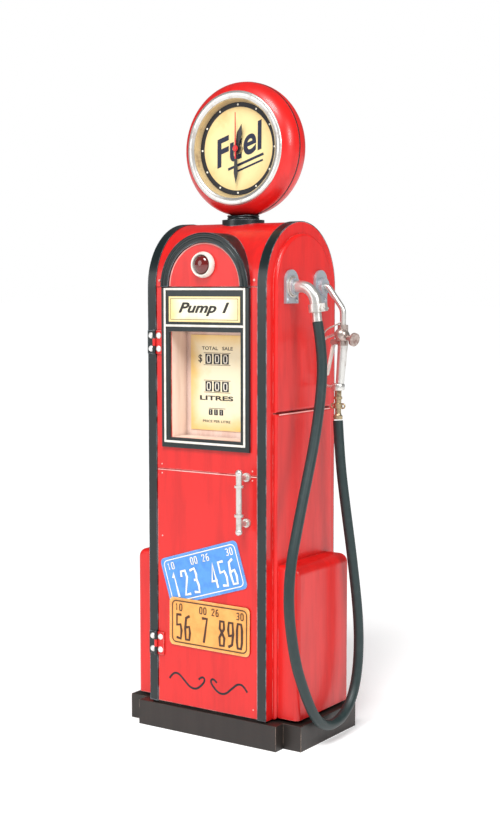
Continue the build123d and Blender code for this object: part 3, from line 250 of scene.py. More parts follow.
def domes(name, places, radius, height):
    """Dome heads of rivets or nails, one at each place."""
    steps = dome(radius, 0.12 * height, 0.88 * height, (20, 40, 60, 78))
    heads = [turned(f"{name}_{i}", steps, FORWARD, place, segments=20) for i, place in enumerate(places)]
    return joined(name, heads)


def line_through(name, points, kind="NURBS", resolution=12, closed=False):
    """A curve object: a smooth path through the hull of its points, or, as POLY, straight runs between them."""
    curve = bpy.data.curves.new(name, "CURVE")
    curve.dimensions = "3D"
    spline = curve.splines.new(kind)
    spline.points.add(len(points) - 1)
    for point, place in zip(spline.points, points):
        point.co = (*place, 1.0)
    if kind == "NURBS":
        spline.order_u = 3
        spline.use_endpoint_u = True
        spline.resolution_u = resolution
    spline.use_cyclic_u = closed
    piece = bpy.data.objects.new(name, curve)
    bpy.context.collection.objects.link(piece)
    return piece


def thicken(piece, radius, roundness):
    """Make a curve a round bead with closed ends."""
    piece.data.bevel_depth = radius
    piece.data.bevel_resolution = roundness
    piece.data.use_fill_caps = True


def as_mesh(piece):
    """Turn a curve or text object into a mesh of the same name."""
    name = piece.name
    only(piece)
    bpy.ops.object.convert(target="MESH")
    return named(name)


def rod(name, points, radius):
    """A bent round rod that follows a smooth path through the hull of its points."""
    piece = line_through(name, points, resolution=10)
    thicken(piece, radius, 5)
    return smooth(mend(as_mesh(piece)), 50)


def lettering(name, text, height, centre, depth, proud, width, slant=0.0, weight=0.0, turn=0.0):
    """Painted or pressed lettering on a face turned to the front, in the built-in font, made a mesh."""
    deselect()
    bpy.ops.object.text_add(location=(0, 0, 0))
    piece = named(name)
    piece.data.body = text
    piece.data.size = 1.0
    piece.data.align_x = "CENTER"
    piece.data.shear = slant
    piece.data.offset = weight
    piece.data.resolution_u = 6
    piece.data.extrude = 0.5
    piece = as_mesh(piece)
    corners = [v.co.copy() for v in piece.data.vertices]
    lowest = [min(c[i] for c in corners) for i in range(2)]
    highest = [max(c[i] for c in corners) for i in range(2)]
    across, up = width / (highest[0] - lowest[0]), height / (highest[1] - lowest[1])
    edit_all(piece)
    shift = (-(lowest[0] + highest[0]) / 2, -(lowest[1] + highest[1]) / 2, 0)
    bpy.ops.transform.translate(value=shift)
    bpy.ops.transform.resize(value=(across, up, proud + depth), center_override=(0, 0, 0))
    bpy.ops.transform.translate(value=(0, 0, (proud - depth) / 2))
    leave_edit()
    return face_front(mend(piece), turn, centre)


# --- Materials ---
class Shader:
    """A material's node tree, with a short call for each node that the finishes need."""

    def __init__(self, name):
        self.material = bpy.data.materials.new(name)
        self.material.use_nodes = True
        self.nodes = self.material.node_tree.nodes
        self.links = self.material.node_tree.links
        self.surface = self.nodes["Principled BSDF"]
        self.coordinates = self.nodes.new("ShaderNodeTexCoord").outputs["Object"]

    def feed(self, socket, value):
        """Link another node's output to a socket, or set its value."""
        if isinstance(value, bpy.types.NodeSocket):
            self.links.new(value, socket)
        elif isinstance(value, (tuple, list)) and len(value) == 3 and len(socket.default_value) == 4:
            socket.default_value = (*value, 1.0)
        else:
            socket.default_value = value

    def wire(self, node, **inputs):
        for key, value in inputs.items():
            self.feed(node.inputs[key.replace("_", " ")], value)
        return node

    def set(self, **inputs):
        self.wire(self.surface, **inputs)

    def add(self, kind, **inputs):
        """A new node, with its named inputs linked or set."""
        return self.wire(self.nodes.new(f"ShaderNode{kind}"), **inputs)

    def noise(self, scale, detail=4.0, rough=0.6, stretch=(1, 1, 1), distortion=0.0):
        place = self.add("Mapping", Vector=self.coordinates, Scale=stretch).outputs["Vector"]
        grain = self.add(
            "TexNoise", Vector=place, Scale=scale, Detail=detail, Roughness=rough, Distortion=distortion
        )
        return grain.outputs["Fac"]

    def math(self, operation, a, b=0.0, clamp=False):
        node = self.add("Math")
        node.operation = operation
        node.use_clamp = clamp
        self.feed(node.inputs[0], a)
        self.feed(node.inputs[1], b)
        return node.outputs[0]

    def times(self, a, b):
        return self.math("MULTIPLY", a, b)

    def plus(self, start, mask, amount):
        """A value with an amount of a mask added to it."""
        return self.math("ADD", start, self.times(mask, amount))

    def between(self, value, start, end):
        """0 below start and 1 above end, smoothly."""
        node = self.add("MapRange", Value=value, From_Min=start, From_Max=end)
        node.interpolation_type = "SMOOTHSTEP"
        return node.outputs["Result"]

    def mix(self, fac, a, b):
        node = self.add("Mix")
        node.data_type = "RGBA"
        for index, value in ((0, fac), (6, a), (7, b)):
            self.feed(node.inputs[index], value)
        return node.outputs[2]

    def tint(self, colour, other, mask, share):
        """A colour with a share of another one where the mask is 1."""
        return self.mix(self.times(mask, share), colour, other)

    def edges(self, radius, start=0.04, end=0.25):
        """1 on edges, where a softened normal leaves the true one."""
        soft = self.add("Bevel", Radius=radius)
        soft.samples = 6
        dot = self.add("VectorMath")
        dot.operation = "DOT_PRODUCT"
        self.feed(dot.inputs[0], soft.outputs["Normal"])
        self.feed(dot.inputs[1], self.add("NewGeometry").outputs["Normal"])
        return self.between(self.math("SUBTRACT", 1.0, dot.outputs["Value"]), start, end)

    def hollows(self, distance):
        """0 on open faces and towards 1 in corners."""
        node = self.add("AmbientOcclusion", Distance=distance)
        node.samples = 6
        return self.math("SUBTRACT", 1.0, node.outputs["AO"])

    def axis(self, index):
        return self.add("SeparateXYZ", Vector=self.coordinates).outputs[index]

    def bump(self, height, strength, distance, onto=None):
        node = self.add("Bump", Strength=strength, Distance=distance, Height=height)
        if onto is not None:
            self.wire(node, Normal=onto)
        return node.outputs["Normal"]

    def finish(self, colour, rough, normal=None, metallic=0.0):
        self.set(Base_Color=colour, Roughness=rough, Metallic=metallic)
        if normal is not None:
            self.set(Normal=normal)
        return self.material


def scaled(colour, factor):
    return tuple(min(1.0, factor * c) for c in colour)


def brushed_paint(
    name, base, shade, rub, rub_and_highlight_amount=0.7, rough=0.32, streaks=(1, 1, 0.12), edge=0.0012, coat=0.2
):
    """Hand-brushed paint: streaky colour, painted shade in the corners, and pale edges that are partly rubbed wear
    and partly painted highlight.
    """
    s = Shader(name)
    streak = s.noise(90, 5, 0.65, streaks, 0.3)
    colour = s.tint(base, shade, s.between(streak, 0.35, 0.75), 0.5)
    colour = s.tint(colour, shade, s.between(s.noise(9, 3, 0.5), 0.45, 0.75), 0.35)
    # Painted shade: the colour darkens in corners and recesses, found by ambient occlusion.
    corner_shade = s.between(s.hollows(0.007), 0.25, 0.8)
    colour = s.tint(colour, scaled(shade, 0.25), corner_shade, 0.55)
    # Pale edges: partly rubbed wear, partly a painted highlight where rounded edges catch the light; kept off the
    # shaded corners.
    worn_and_lit = s.times(s.edges(edge), s.between(s.noise(55, 5, 0.7), 0.38, 0.62))
    worn_and_lit = s.times(worn_and_lit, s.math("SUBTRACT", 1.0, corner_shade, clamp=True))
    colour = s.tint(colour, rub, worn_and_lit, rub_and_highlight_amount)
    normal = s.bump(s.noise(26, 2, 0.4), 0.25, 0.0012)
    normal = s.bump(s.plus(s.times(streak, 0.7), s.noise(420, 3, 0.6), 0.3), 0.12, 0.0003, normal)
    s.set(Coat_Weight=coat, Coat_Roughness=0.12)
    return s.finish(colour, s.plus(rough, streak, 0.15), normal)


def silvered(
    name, base=(0.72, 0.71, 0.68), stain=(0.22, 0.12, 0.06), stain_amount=0.5, rough=0.34, scale=70,
    metallic=0.85,
):
    """Silvered or cast metal with a brown wash that settles in its corners and pits."""
    s = Shader(name)
    mottle = s.noise(scale, 6, 0.7)
    pits = s.noise(scale * 5, 4, 0.6)
    corner = s.between(s.hollows(0.004), 0.2, 0.75)
    wash = s.times(s.between(mottle, 0.5, 0.72), stain_amount)
    wash = s.math("MAXIMUM", wash, s.times(corner, min(1.0, 1.3 * stain_amount)))
    colour = s.tint(s.mix(wash, base, stain), scaled(base, 1.2), s.edges(0.0008), 0.5)
    normal = s.bump(s.plus(mottle, pits, 0.5), 0.18, 0.0004)
    shine = s.math("SUBTRACT", metallic, s.times(wash, 0.6), clamp=True)
    return s.finish(colour, s.plus(rough, wash, 0.35), normal, shine)


def aged_card(name, centre, half, base, old, spread=1.0, round_edge=False):
    """Printed card or enamel that has yellowed towards its edges. centre and half are (x, z) in metres."""
    s = Shader(name)
    across = s.math("DIVIDE", s.math("SUBTRACT", s.axis(0), centre[0]), half[0])
    up = s.math("DIVIDE", s.math("SUBTRACT", s.axis(2), centre[1]), half[1])
    if round_edge:
        reach = s.math("SQRT", s.math("ADD", s.times(across, across), s.times(up, up)))
    else:
        reach = s.math("MAXIMUM", s.math("ABSOLUTE", across), s.math("ABSOLUTE", up))
    blotch = s.noise(38, 5, 0.6)
    edge = s.between(s.plus(reach, blotch, 0.35), 0.75, 1.25)
    colour = s.tint(base, old, edge, 0.75 * spread)
    colour = s.tint(colour, old, s.between(blotch, 0.52, 0.75), 0.28)
    colour = s.tint(colour, scaled(old, 0.3), s.between(s.noise(330, 3, 0.6), 0.68, 0.8), 0.3)
    return s.finish(colour, s.plus(0.45, blotch, 0.2), s.bump(s.noise(300, 3), 0.08, 0.0002))


def rubber(name, base=(0.010, 0.026, 0.027)):
    """Satin hose rubber with a dusty bloom."""
    s = Shader(name)
    dust = s.noise(130, 5, 0.65)
    colour = s.tint(base, (0.04, 0.06, 0.062), s.between(dust, 0.45, 0.75), 0.3)
    colour = s.tint(colour, (0.012, 0.022, 0.02), s.between(s.noise(14, 2, 0.5), 0.5, 0.7), 0.25)
    return s.finish(colour, s.plus(0.36, dust, 0.22), s.bump(dust, 0.1, 0.0003))


def printing(name, ink=(0.02, 0.018, 0.016), faded=(0.13, 0.09, 0.06)):
    """Printer's ink or sign paint, a little worn through."""
    s = Shader(name)
    wear = s.noise(620, 4, 0.7)
    colour = s.tint(ink, faded, s.between(wear, 0.5, 0.78), 0.6)
    return s.finish(colour, s.plus(0.4, wear, 0.25), s.bump(wear, 0.06, 0.0001))


def jewel(name, base=(0.16, 0.006, 0.006)):
    """Moulded lens, dark in its middle and brighter where it thins."""
    s = Shader(name)
    cloud = s.noise(160, 2, 0.5)
    colour = s.tint(base, (0.05, 0.004, 0.004), cloud, 0.5)
    colour = s.tint(colour, (0.5, 0.03, 0.02), s.edges(0.003, 0.0, 0.5), 0.6)
    s.set(Coat_Weight=1.0, Coat_Roughness=0.05)
    return s.finish(colour, s.plus(0.1, cloud, 0.12), s.bump(cloud, 0.05, 0.0002))


def fibre(name, base=(0.16, 0.10, 0.055)):
    """Pressed fibre board."""
    s = Shader(name)
    strand = s.noise(140, 6, 0.8, (1, 0.25, 1))
    colour = s.mix(strand, base, scaled(base, 0.35))
    return s.finish(colour, s.plus(0.7, strand, 0.2), s.bump(strand, 0.3, 0.0005))


def moulded(name, base=(0.02, 0.02, 0.022), rough=0.4):
    """Moulded plastic or lacquer with a fine grain."""
    s = Shader(name)
    grain = s.noise(900, 3, 0.6)
    colour = s.tint(base, tuple(1.6 * c + 0.01 for c in base), s.noise(40, 2), 0.4)
    return s.finish(colour, s.plus(rough, grain, 0.15), s.bump(grain, 0.15, 0.0002))


def studio_floor(name, tone):
    """Pale floor with a little light of its own, so its far edge meets the white behind it."""
    s = Shader(name)
    drift = s.noise(1.2, 3, 0.5)
    s.set(Emission_Color=(1, 1, 1, 1), Emission_Strength=0.3, Specular_IOR_Level=0.2)
    return s.finish(s.tint(tone, scaled(tone, 0.94), drift, 0.25), s.plus(0.62, drift, 0.1))


def studio_world(name, ambient):
    """White behind the object, and a dimmer white all round it as light."""
    world = bpy.data.worlds.new(name)
    world.use_nodes = True
    nodes, links = world.node_tree.nodes, world.node_tree.links
    around = nodes["Background"]
    around.inputs["Color"].default_value = (1, 1, 1, 1)
    around.inputs["Strength"].default_value = ambient
    behind = nodes.new("ShaderNodeBackground")
    behind.inputs["Color"].default_value = (1, 1, 1, 1)
    choose = nodes.new("ShaderNodeMixShader")
    links.new(nodes.new("ShaderNodeLightPath").outputs["Is Camera Ray"], choose.inputs["Fac"])
    links.new(around.outputs["Background"], choose.inputs[1])
    links.new(behind.outputs["Background"], choose.inputs[2])
    links.new(choose.outputs["Shader"], nodes["World Output"].inputs["Surface"])
    return world


FINISHES = {}


def finish_of(name):
    """Make each finish once, when a piece first asks for it."""
    if name not in FINISHES:
        FINISHES[name] = MAKERS[name]()
    return FINISHES[name]


def colour_of(field):
    return tuple(getattr(bpy.context.scene.pump_colours, field))


def card_on(node, name, base, old):
    """Aged card or enamel over the front of a CAD node."""
    (x0, _, z0), (x1, _, z1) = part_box(node)
    return aged_card(name, ((x0 + x1) / 2, (z0 + z1) / 2), ((x1 - x0) / 2, (z1 - z0) / 2), base, old)


def dial_finish():
    reach = (high("dial_face").x - low("dial_face").x) / 2
    base, old = (0.90, 0.74, 0.36), (0.70, 0.36, 0.10)
    return aged_card("dial_paper", (CLOCK.x, CLOCK.z), (reach, reach), base, old, 0.7, round_edge=True)


EVEN = (1, 1, 1)
MAKERS = {
    "red_paint": lambda: brushed_paint(
        "red_body_paint", colour_of("red"), colour_of("red_shade"), (0.95, 0.62, 0.56), 0.75, 0.3
    ),
    "black_paint": lambda: brushed_paint(
        "trim_paint", colour_of("trim"), (0.001, 0.003, 0.004), (0.36, 0.42, 0.48), 0.8, 0.28, edge=0.0014
    ),
    "plinth_paint": lambda: brushed_paint(
        "plinth_paint", colour_of("plinth"), (0.008, 0.006, 0.005), (0.45, 0.33, 0.26), 0.85, 0.42,
        edge=0.0014, coat=0.1,
    ),
    "blue_enamel": lambda: brushed_paint(
        "blue_plate_enamel", colour_of("blue"), (0.03, 0.16, 0.50), (0.75, 0.82, 0.88), 0.9, 0.28, EVEN, 0.0008
    ),
    "orange_enamel": lambda: brushed_paint(
        "orange_plate_enamel", colour_of("orange"), (0.62, 0.22, 0.03), (0.95, 0.82, 0.62), 0.9, 0.28,
        EVEN, 0.0008,
    ),
    "white_line": lambda: brushed_paint(
        "lining_paint", (0.86, 0.83, 0.76), (0.52, 0.46, 0.40), (0.95, 0.93, 0.9), 0.6, 0.4, EVEN, 0.0006
    ),
    # Pink paint used as a painted highlight: on the dormer's rim, the seam lips, and the rivet and nail heads.
    "pink_highlight": lambda: brushed_paint(
        "rubbed_rim_paint", (0.88, 0.42, 0.38), (0.62, 0.08, 0.06), (0.95, 0.80, 0.78), 0.9, 0.35, EVEN, 0.0008
    ),
    "recess_paint": lambda: brushed_paint(
        "recess_lining", (0.86, 0.70, 0.62), (0.60, 0.36, 0.28), (0.95, 0.9, 0.85), 0.4, 0.45
    ),
    "silver_metal": lambda: silvered("silvered_steel"),
    "cast_metal": lambda: silvered("cast_fitting", (0.50, 0.42, 0.38), (0.13, 0.035, 0.02), 0.95, 0.32, 60, 0.8),
    "flange_metal": lambda: silvered("flange_zinc", (0.50, 0.54, 0.58), (0.12, 0.13, 0.15), 0.6, 0.42, 150, 0.7),
    "brass": lambda: silvered("aged_brass", (0.50, 0.40, 0.25), (0.05, 0.022, 0.012), 0.95, 0.36, 90, 0.9),
    "wall_gilt": lambda: silvered("gilt_wall", (0.62, 0.48, 0.26), (0.22, 0.13, 0.06), 0.8, 0.45, 60, 0.35),
    "zinc": lambda: silvered("zinc_plate", (0.60, 0.61, 0.62), (0.2, 0.14, 0.09), 0.4, 0.38, 110, 0.85),
    "rivet_white": lambda: silvered("rivet_heads", (0.90, 0.89, 0.86), (0.35, 0.25, 0.2), 0.25, 0.3, 90, 0.4),
    "cream_card": lambda: card_on("register_card", "card_print_stock", (0.93, 0.84, 0.60), (0.84, 0.55, 0.10)),
    "cream_paint": lambda: card_on("sign_panel", "sign_enamel", (0.93, 0.88, 0.70), (0.86, 0.62, 0.16)),
    "dial_card": dial_finish,
    "red_lens": lambda: jewel("lens_jewel"),
    "hose_rubber": lambda: rubber("hose_rubber"),
    "movement_plastic": lambda: moulded("movement_case_plastic"),
    "battery_jacket": lambda: moulded("battery_sleeve", (0.05, 0.05, 0.07), 0.25),
    "hand_paint": lambda: moulded("hand_lacquer", (0.012, 0.012, 0.014), 0.28),
    "red_hand_paint": lambda: moulded("red_hand_lacquer", (0.55, 0.012, 0.012), 0.28),
    "magnet_case": lambda: moulded("catch_case_plastic", (0.62, 0.62, 0.58), 0.4),
    "base_fibre": lambda: fibre("base_board_fibre"),
    "ink": lambda: printing("card_ink"),
    "brown_ink": lambda: printing("brown_ink", (0.10, 0.045, 0.02), (0.35, 0.22, 0.12)),
    "brown_paint": lambda: printing("number_paint", (0.06, 0.022, 0.012), (0.16, 0.07, 0.03)),
    "navy_ink": lambda: printing("dial_ink", (0.008, 0.012, 0.04), (0.05, 0.06, 0.10)),
    "number_ink": lambda: printing("number_ink", (0.006, 0.007, 0.012), (0.03, 0.03, 0.035)),
    "dot_white": lambda: printing("dot_white", (0.88, 0.85, 0.74), (0.6, 0.56, 0.45)),
}


def dressed(piece, finish, body="root"):
    """Give a finished piece its material, its body and its slot."""
    piece.data.materials.clear()
    piece.data.materials.append(finish_of(finish))
    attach(piece, body)
    return piece


NODE_FINISHES = {
    "red_paint": (
        "left_side_panel", "right_side_panel", "barrel_roof", "left_saddle_box", "right_saddle_box", "dormer_face",
        "globe_front_shell", "globe_rear_shell", "door_panel", "back_panel", "hinge_door_leaves",
    ),
    "black_paint": (
        "dormer_hood", "neck_collar", "neck_fixing", "left_edge_band", "right_edge_band", "window_frame",
        "hinge_frame_leaves", "hinge_pins",
    ),
    "plinth_paint": ("plinth", "floor_plate"),
    "silver_metal": (
        "clock_bezel", "outlet_elbow", "outlet_ferrule", "hose_clamp", "door_handle", "nozzle_spout", "set_knob",
        "nozzle_grip", "nozzle_guard", "striker_plate",
    ),
    "cast_metal": ("valve_body", "valve_cap"),
    "flange_metal": ("outlet_flange", "socket_flange", "flange_screws"),
    "brass": ("hose_swivel", "dial_nut"),
    "wall_gilt": ("dial_wall",),
    "zinc": ("back_screws",),
    "rivet_white": ("hinge_frame_rivets", "hinge_door_rivets"),
    "cream_card": ("register_card",),
    "dial_card": ("dial_face",),
    "cream_paint": ("sign_panel",),
    "recess_paint": ("display_box",),
    "blue_enamel": ("blue_plate",),
    "orange_enamel": ("orange_plate",),
    "red_lens": ("lamp_lens",),
    "white_line": ("lamp_ring", "window_bead", "nozzle_lever"),
    "hose_rubber": ("hose",),
    "movement_plastic": ("movement_case",),
    "battery_jacket": ("battery",),
    "hand_paint": ("hour_hand", "minute_hand"),
    "red_hand_paint": ("second_hand",),
    "base_fibre": ("base_board",),
    "magnet_case": ("catch_magnet",),
}


# --- Sizes and colours that a user would change ---
def number(name, description, default, **kind):
    return bpy.props.FloatProperty(name=name, description=description, default=default, **kind)


def size(name, description, default, **limits):
    return number(name, description, default, unit="LENGTH", **limits)


def words(name, description, default):
    return bpy.props.StringProperty(name=name, description=description, default=default)


def colour(name, description, default):
    return bpy.props.FloatVectorProperty(
        name=name, description=description, default=default, subtype="COLOR", size=3, min=0, max=1
    )


class PumpColours(bpy.types.PropertyGroup):
    """Colours of the painted parts"""

    red: colour("Body Red", "Colour of the cabinet, roof and globe", (0.72, 0.010, 0.008))
    red_shade: colour("Body Red Shade", "Darker streaks in the body red", (0.46, 0.004, 0.004))
    trim: colour("Trim", "Colour of the bands, frame, hood and neck", (0.002, 0.010, 0.011))
    plinth: colour("Plinth", "Colour of the plinth", (0.020, 0.014, 0.011))
    blue: colour("Upper Plate", "Colour of the upper number plate", (0.09, 0.32, 0.80))
    orange: colour("Lower Plate", "Colour of the lower number plate", (0.90, 0.42, 0.10))
    floor: colour("Floor", "Colour of the studio floor", (0.90, 0.90, 0.90))


class PumpHose(bpy.types.PropertyGroup):
    """The filling hose"""

    diameter: size("Diameter", "Outside diameter of the hose", 10 * MM, min=4 * MM)
    length: size("Length", "Length of the hose from end to end", 753 * MM)


class PumpDial(bpy.types.PropertyGroup):
    """The clock dial in the globe"""

    ring_outer: size("Ring Outer Radius", "Outer radius of the black dot ring", 45.2 * MM)
    ring_inner: size("Ring Inner Radius", "Inner radius of the black dot ring", 40.6 * MM)
    dot: size("Dot Radius", "Radius of an hour dot", 1.0 * MM)
    word: words("Word", "Word painted on the dial", "Fuel")
    tilt: number("Tilt", "How far the word rises to the right", radians(18), subtype="ANGLE")


class PumpLettering(bpy.types.PropertyGroup):
    """Generic lettering on the front"""

    sign: words("Sign", "Words above the window", "Pump 1")
    blue_number: words("Upper Number", "Upper plate's number", "123 456")
    orange_number: words("Lower Number", "Lower plate's number", "56 7 890")


class PumpStage(bpy.types.PropertyGroup):
    """Camera and light"""

    lens: number("Focal Length", "Focal length of the camera", 61.33, unit="CAMERA")
    key_power: number("Key Light", "Power of the key light", 9, unit="POWER")
    fill_power: number("Fill Light", "Power of the fill light", 5, unit="POWER")
    broad_strength: number("Broad Light", "Strength of the broad light", 2.9)
    ambient: number("Ambient", "Strength of the light from all round", 0.16)


# --- Operators ---
class PUMP_OT_stage(bpy.types.Operator):
    """Set up the camera, the soft lights and the pale floor"""

    bl_idname = "pump.stage"
    bl_label = "Stage"

    def execute(self, context):
        stage = context.scene.pump_stage
        deselect()
        bpy.ops.object.camera_add(
            location=(0.80699, -1.18270, 0.44103), rotation=(radians(84.7535), 0, radians(33.998))
        )
        camera = bpy.context.object
        camera.name = "view_camera"
        camera.data.lens = stage.lens
        camera.data.sensor_width = 36.0
        context.scene.camera = camera

        def softbox(name, place, target, power, width):
            bpy.ops.object.light_add(type="AREA", location=place)
            lamp = bpy.context.object
            lamp.name = name
            lamp.data.shape = "DISK"
            lamp.data.size = width
            lamp.data.energy = power
            lamp.rotation_euler = (Vector(target) - Vector(place)).to_track_quat("-Z", "Y").to_euler()

        aim = (0, 0, 0.32)
        softbox("key_light", (1.3, -0.35, 1.0), aim, stage.key_power, 0.5)
        softbox("fill_light", (-0.9, -1.5, 0.8), aim, stage.fill_power, 0.9)
        bpy.ops.object.light_add(type="SUN", location=(0.5, -1.0, 2.0))
        sky = bpy.context.object
        sky.name = "broad_light"
        sky.data.energy = stage.broad_strength
        sky.data.angle = radians(24)
        sky.rotation_euler = Vector((-0.25, 0.75, -1.0)).to_track_quat("-Z", "Y").to_euler()
        context.scene.world = studio_world("studio", stage.ambient)
        context.scene.view_settings.view_transform = "Standard"

        deselect()
        bpy.ops.mesh.primitive_plane_add(size=60, location=(0, 0, 0))
        floor = named("studio_floor")
        settle(floor)
        floor.data.materials.append(studio_floor("pale_floor", tuple(context.scene.pump_colours.floor)))
        return {"FINISHED"}


HOSE_ROUTE = [
    (0.1045, -0.0275, 0.410), (0.108, -0.024, 0.381), (0.1085, -0.026, 0.345), (0.108, -0.038, 0.295),
    (0.1075, -0.061, 0.235), (0.108, -0.086, 0.166), (0.110, -0.077, 0.100), (0.112, -0.060, 0.060),
    (0.113, -0.040, 0.029), (0.113, -0.0165, 0.018), (0.113, 0.0085, 0.0205), (0.113, 0.029, 0.036),
    (0.1135, 0.039, 0.066), (0.113, 0.0405, 0.110), (0.110, 0.033, 0.170), (0.104, 0.027, 0.231),
    (0.0995, 0.0245, 0.273), (0.096, 0.026, 0.312),
]


class PUMP_OT_hose(bpy.types.Operator):
    """Lay the hose from the outlet down to the floor and back up to the nozzle"""

    bl_idname = "pump.hose"
    bl_label = "Hose"

    def execute(self, context):
        sizes = context.scene.pump_hose
        route = line_through("hose_route", HOSE_ROUTE)
        line = bpy.data.meshes.new_from_object(route)
        path = [tuple(v.co) for v in line.vertices]
        thicken(route, sizes.diameter / 2, 7)
        tube = bpy.data.meshes.new_from_object(route)
        hose = bpy.data.objects.new("filling_hose", tube)
        context.collection.objects.link(hose)
        bpy.data.objects.remove(route)
        mend(hose)
        smooth(hose, 60)
        hose.data.materials.clear()
        hose.data.materials.append(finish_of("hose_rubber"))
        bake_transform(hose)
        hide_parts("hose")
        return {"FINISHED"}


class PUMP_OT_finishes(bpy.types.Operator):
    """Give every part of the frame its finish"""

    bl_idname = "pump.finishes"
    bl_label = "Finishes"

    def execute(self, context):
        for finish, nodes in NODE_FINISHES.items():
            for name in nodes:
                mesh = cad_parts[name].data
                mesh.materials.clear()
                mesh.materials.append(finish_of(finish))
        missed = set(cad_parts) - {name for nodes in NODE_FINISHES.values() for name in nodes}
        if missed:
            raise RuntimeError(f"parts with no finish: {sorted(missed)}")
        return {"FINISHED"}


def bead_arc(name, ring_radius, bead_radius, centre, start=0.0, end=180.0, flat=1.0):
    """A round bead bent about an axis that points to the front, from one angle to another."""
    deselect()
    bpy.ops.mesh.primitive_circle_add(vertices=14, radius=bead_radius, location=(0, 0, 0))
    piece = named(name)
    piece.scale = (1, flat, 1)
    settle(piece)
    whole = abs(end - start) >= 360
    edit_all(piece)
    if not whole:
        bpy.ops.mesh.edge_face_add()
        bpy.ops.mesh.select_all(action="SELECT")
    bpy.ops.transform.translate(value=(ring_radius, 0, 0))
    bpy.ops.mesh.spin(steps=96, angle=radians(end - start), center=(0, 0, 0), axis=(0, 1, 0))
    leave_edit()
    mend(piece)
    piece.rotation_euler = (0, -radians(start), 0)
    piece.location = centre
    settle(piece)
    mend(piece)
    return smooth(piece, 60)


# The hood's ridges: name, inset from the hood's edge, bead radius and how far its axis is sunk, in mm.
HOOD_RIDGES = (("hood_ridge_outer", 1.7, 1.5, 0.3), ("hood_ridge_inner", 5.8, 1.3, 0.2))
ROOF_RIVET_X = 56 * MM
ROOF_RIVET_RISE = 6 * MM


class PUMP_OT_roof(bpy.types.Operator):
    """Model the mouldings of the dormer, its lamp and the rivets beside it"""

    bl_idname = "pump.roof"
    bl_label = "Roof and Dormer"

    def execute(self, context):
        hood_low, hood_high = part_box("dormer_hood")
        spring = Vector((0, hood_low.y, hood_low.z))
        reach = (hood_high.x - hood_low.x) / 2
        ridges = [
            bead_arc(name, reach - inset * MM, bead * MM, spring + Vector((0, sunk * MM, 0)), 0, 180, 0.9)
            for name, inset, bead, sunk in HOOD_RIDGES
        ]
        dressed(joined("dormer_mouldings", ridges), "black_paint")
        front = low("dormer_face").y
        reach = (high("dormer_face").x - low("dormer_face").x) / 2
        # A pink bead round the dormer's face: a painted highlight along its rim.
        rim = bead_arc("dormer_rim_bead", reach - 0.9 * MM, 0.8 * MM, (0, front, spring.z), 1, 179, 0.8)
        dressed(rim, "pink_highlight")

        lens = middle("lamp_lens")
        outer = (high("lamp_ring").x - low("lamp_ring").x) / 2
        inner = (high("lamp_lens").x - low("lamp_lens").x) / 2
        depth = front - low("lamp_ring").y
        profile = [
            (outer, 0.0), (outer + 0.2 * MM, 0.35 * depth), (outer - 0.4 * MM, 0.75 * depth),
            (outer - 1.3 * MM, depth), (inner + 1.0 * MM, 0.95 * depth), (inner + 0.1 * MM, 0.65 * depth),
            (inner, 0.0),
        ]
        ring = turned("lamp_ring_turned", profile, FORWARD, (lens.x, front, lens.z), ring=True)
        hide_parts("lamp_ring")
        dressed(ring, "white_line")
        rise = front - low("lamp_lens").y
        steps = dome(inner, 0.45 * rise, 0.55 * rise, (18, 36, 54, 70, 82))
        crown = turned("lamp_lens_dome", steps, FORWARD, (lens.x, front, lens.z), angle=60)
        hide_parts("lamp_lens")
        dressed(crown, "red_lens")

        rivets = [(side * ROOF_RIVET_X, low("barrel_roof").y, spring.z + ROOF_RIVET_RISE) for side in (-1, 1)]
        # Pink rivet heads: a painted highlight on each dome.
        dressed(domes("roof_rivets", rivets, 1.3 * MM, 0.9 * MM), "pink_highlight")
        return {"FINISHED"}


DOT_RING_PROUD = 0.25 * MM
# The dial's word: its width and height, and its middle to the right of the clock's axis and above it.
WORD_SIZE = mm(64, 27)
WORD_PLACE = mm(1.5, 4)
# The lines under the word: name, width, height, and middle to the right of the axis and below it, in mm.
UNDERLINES = (("underline_long", 44, 2.4, 9, 13), ("underline_short", 32, 1.8, 14, 17))


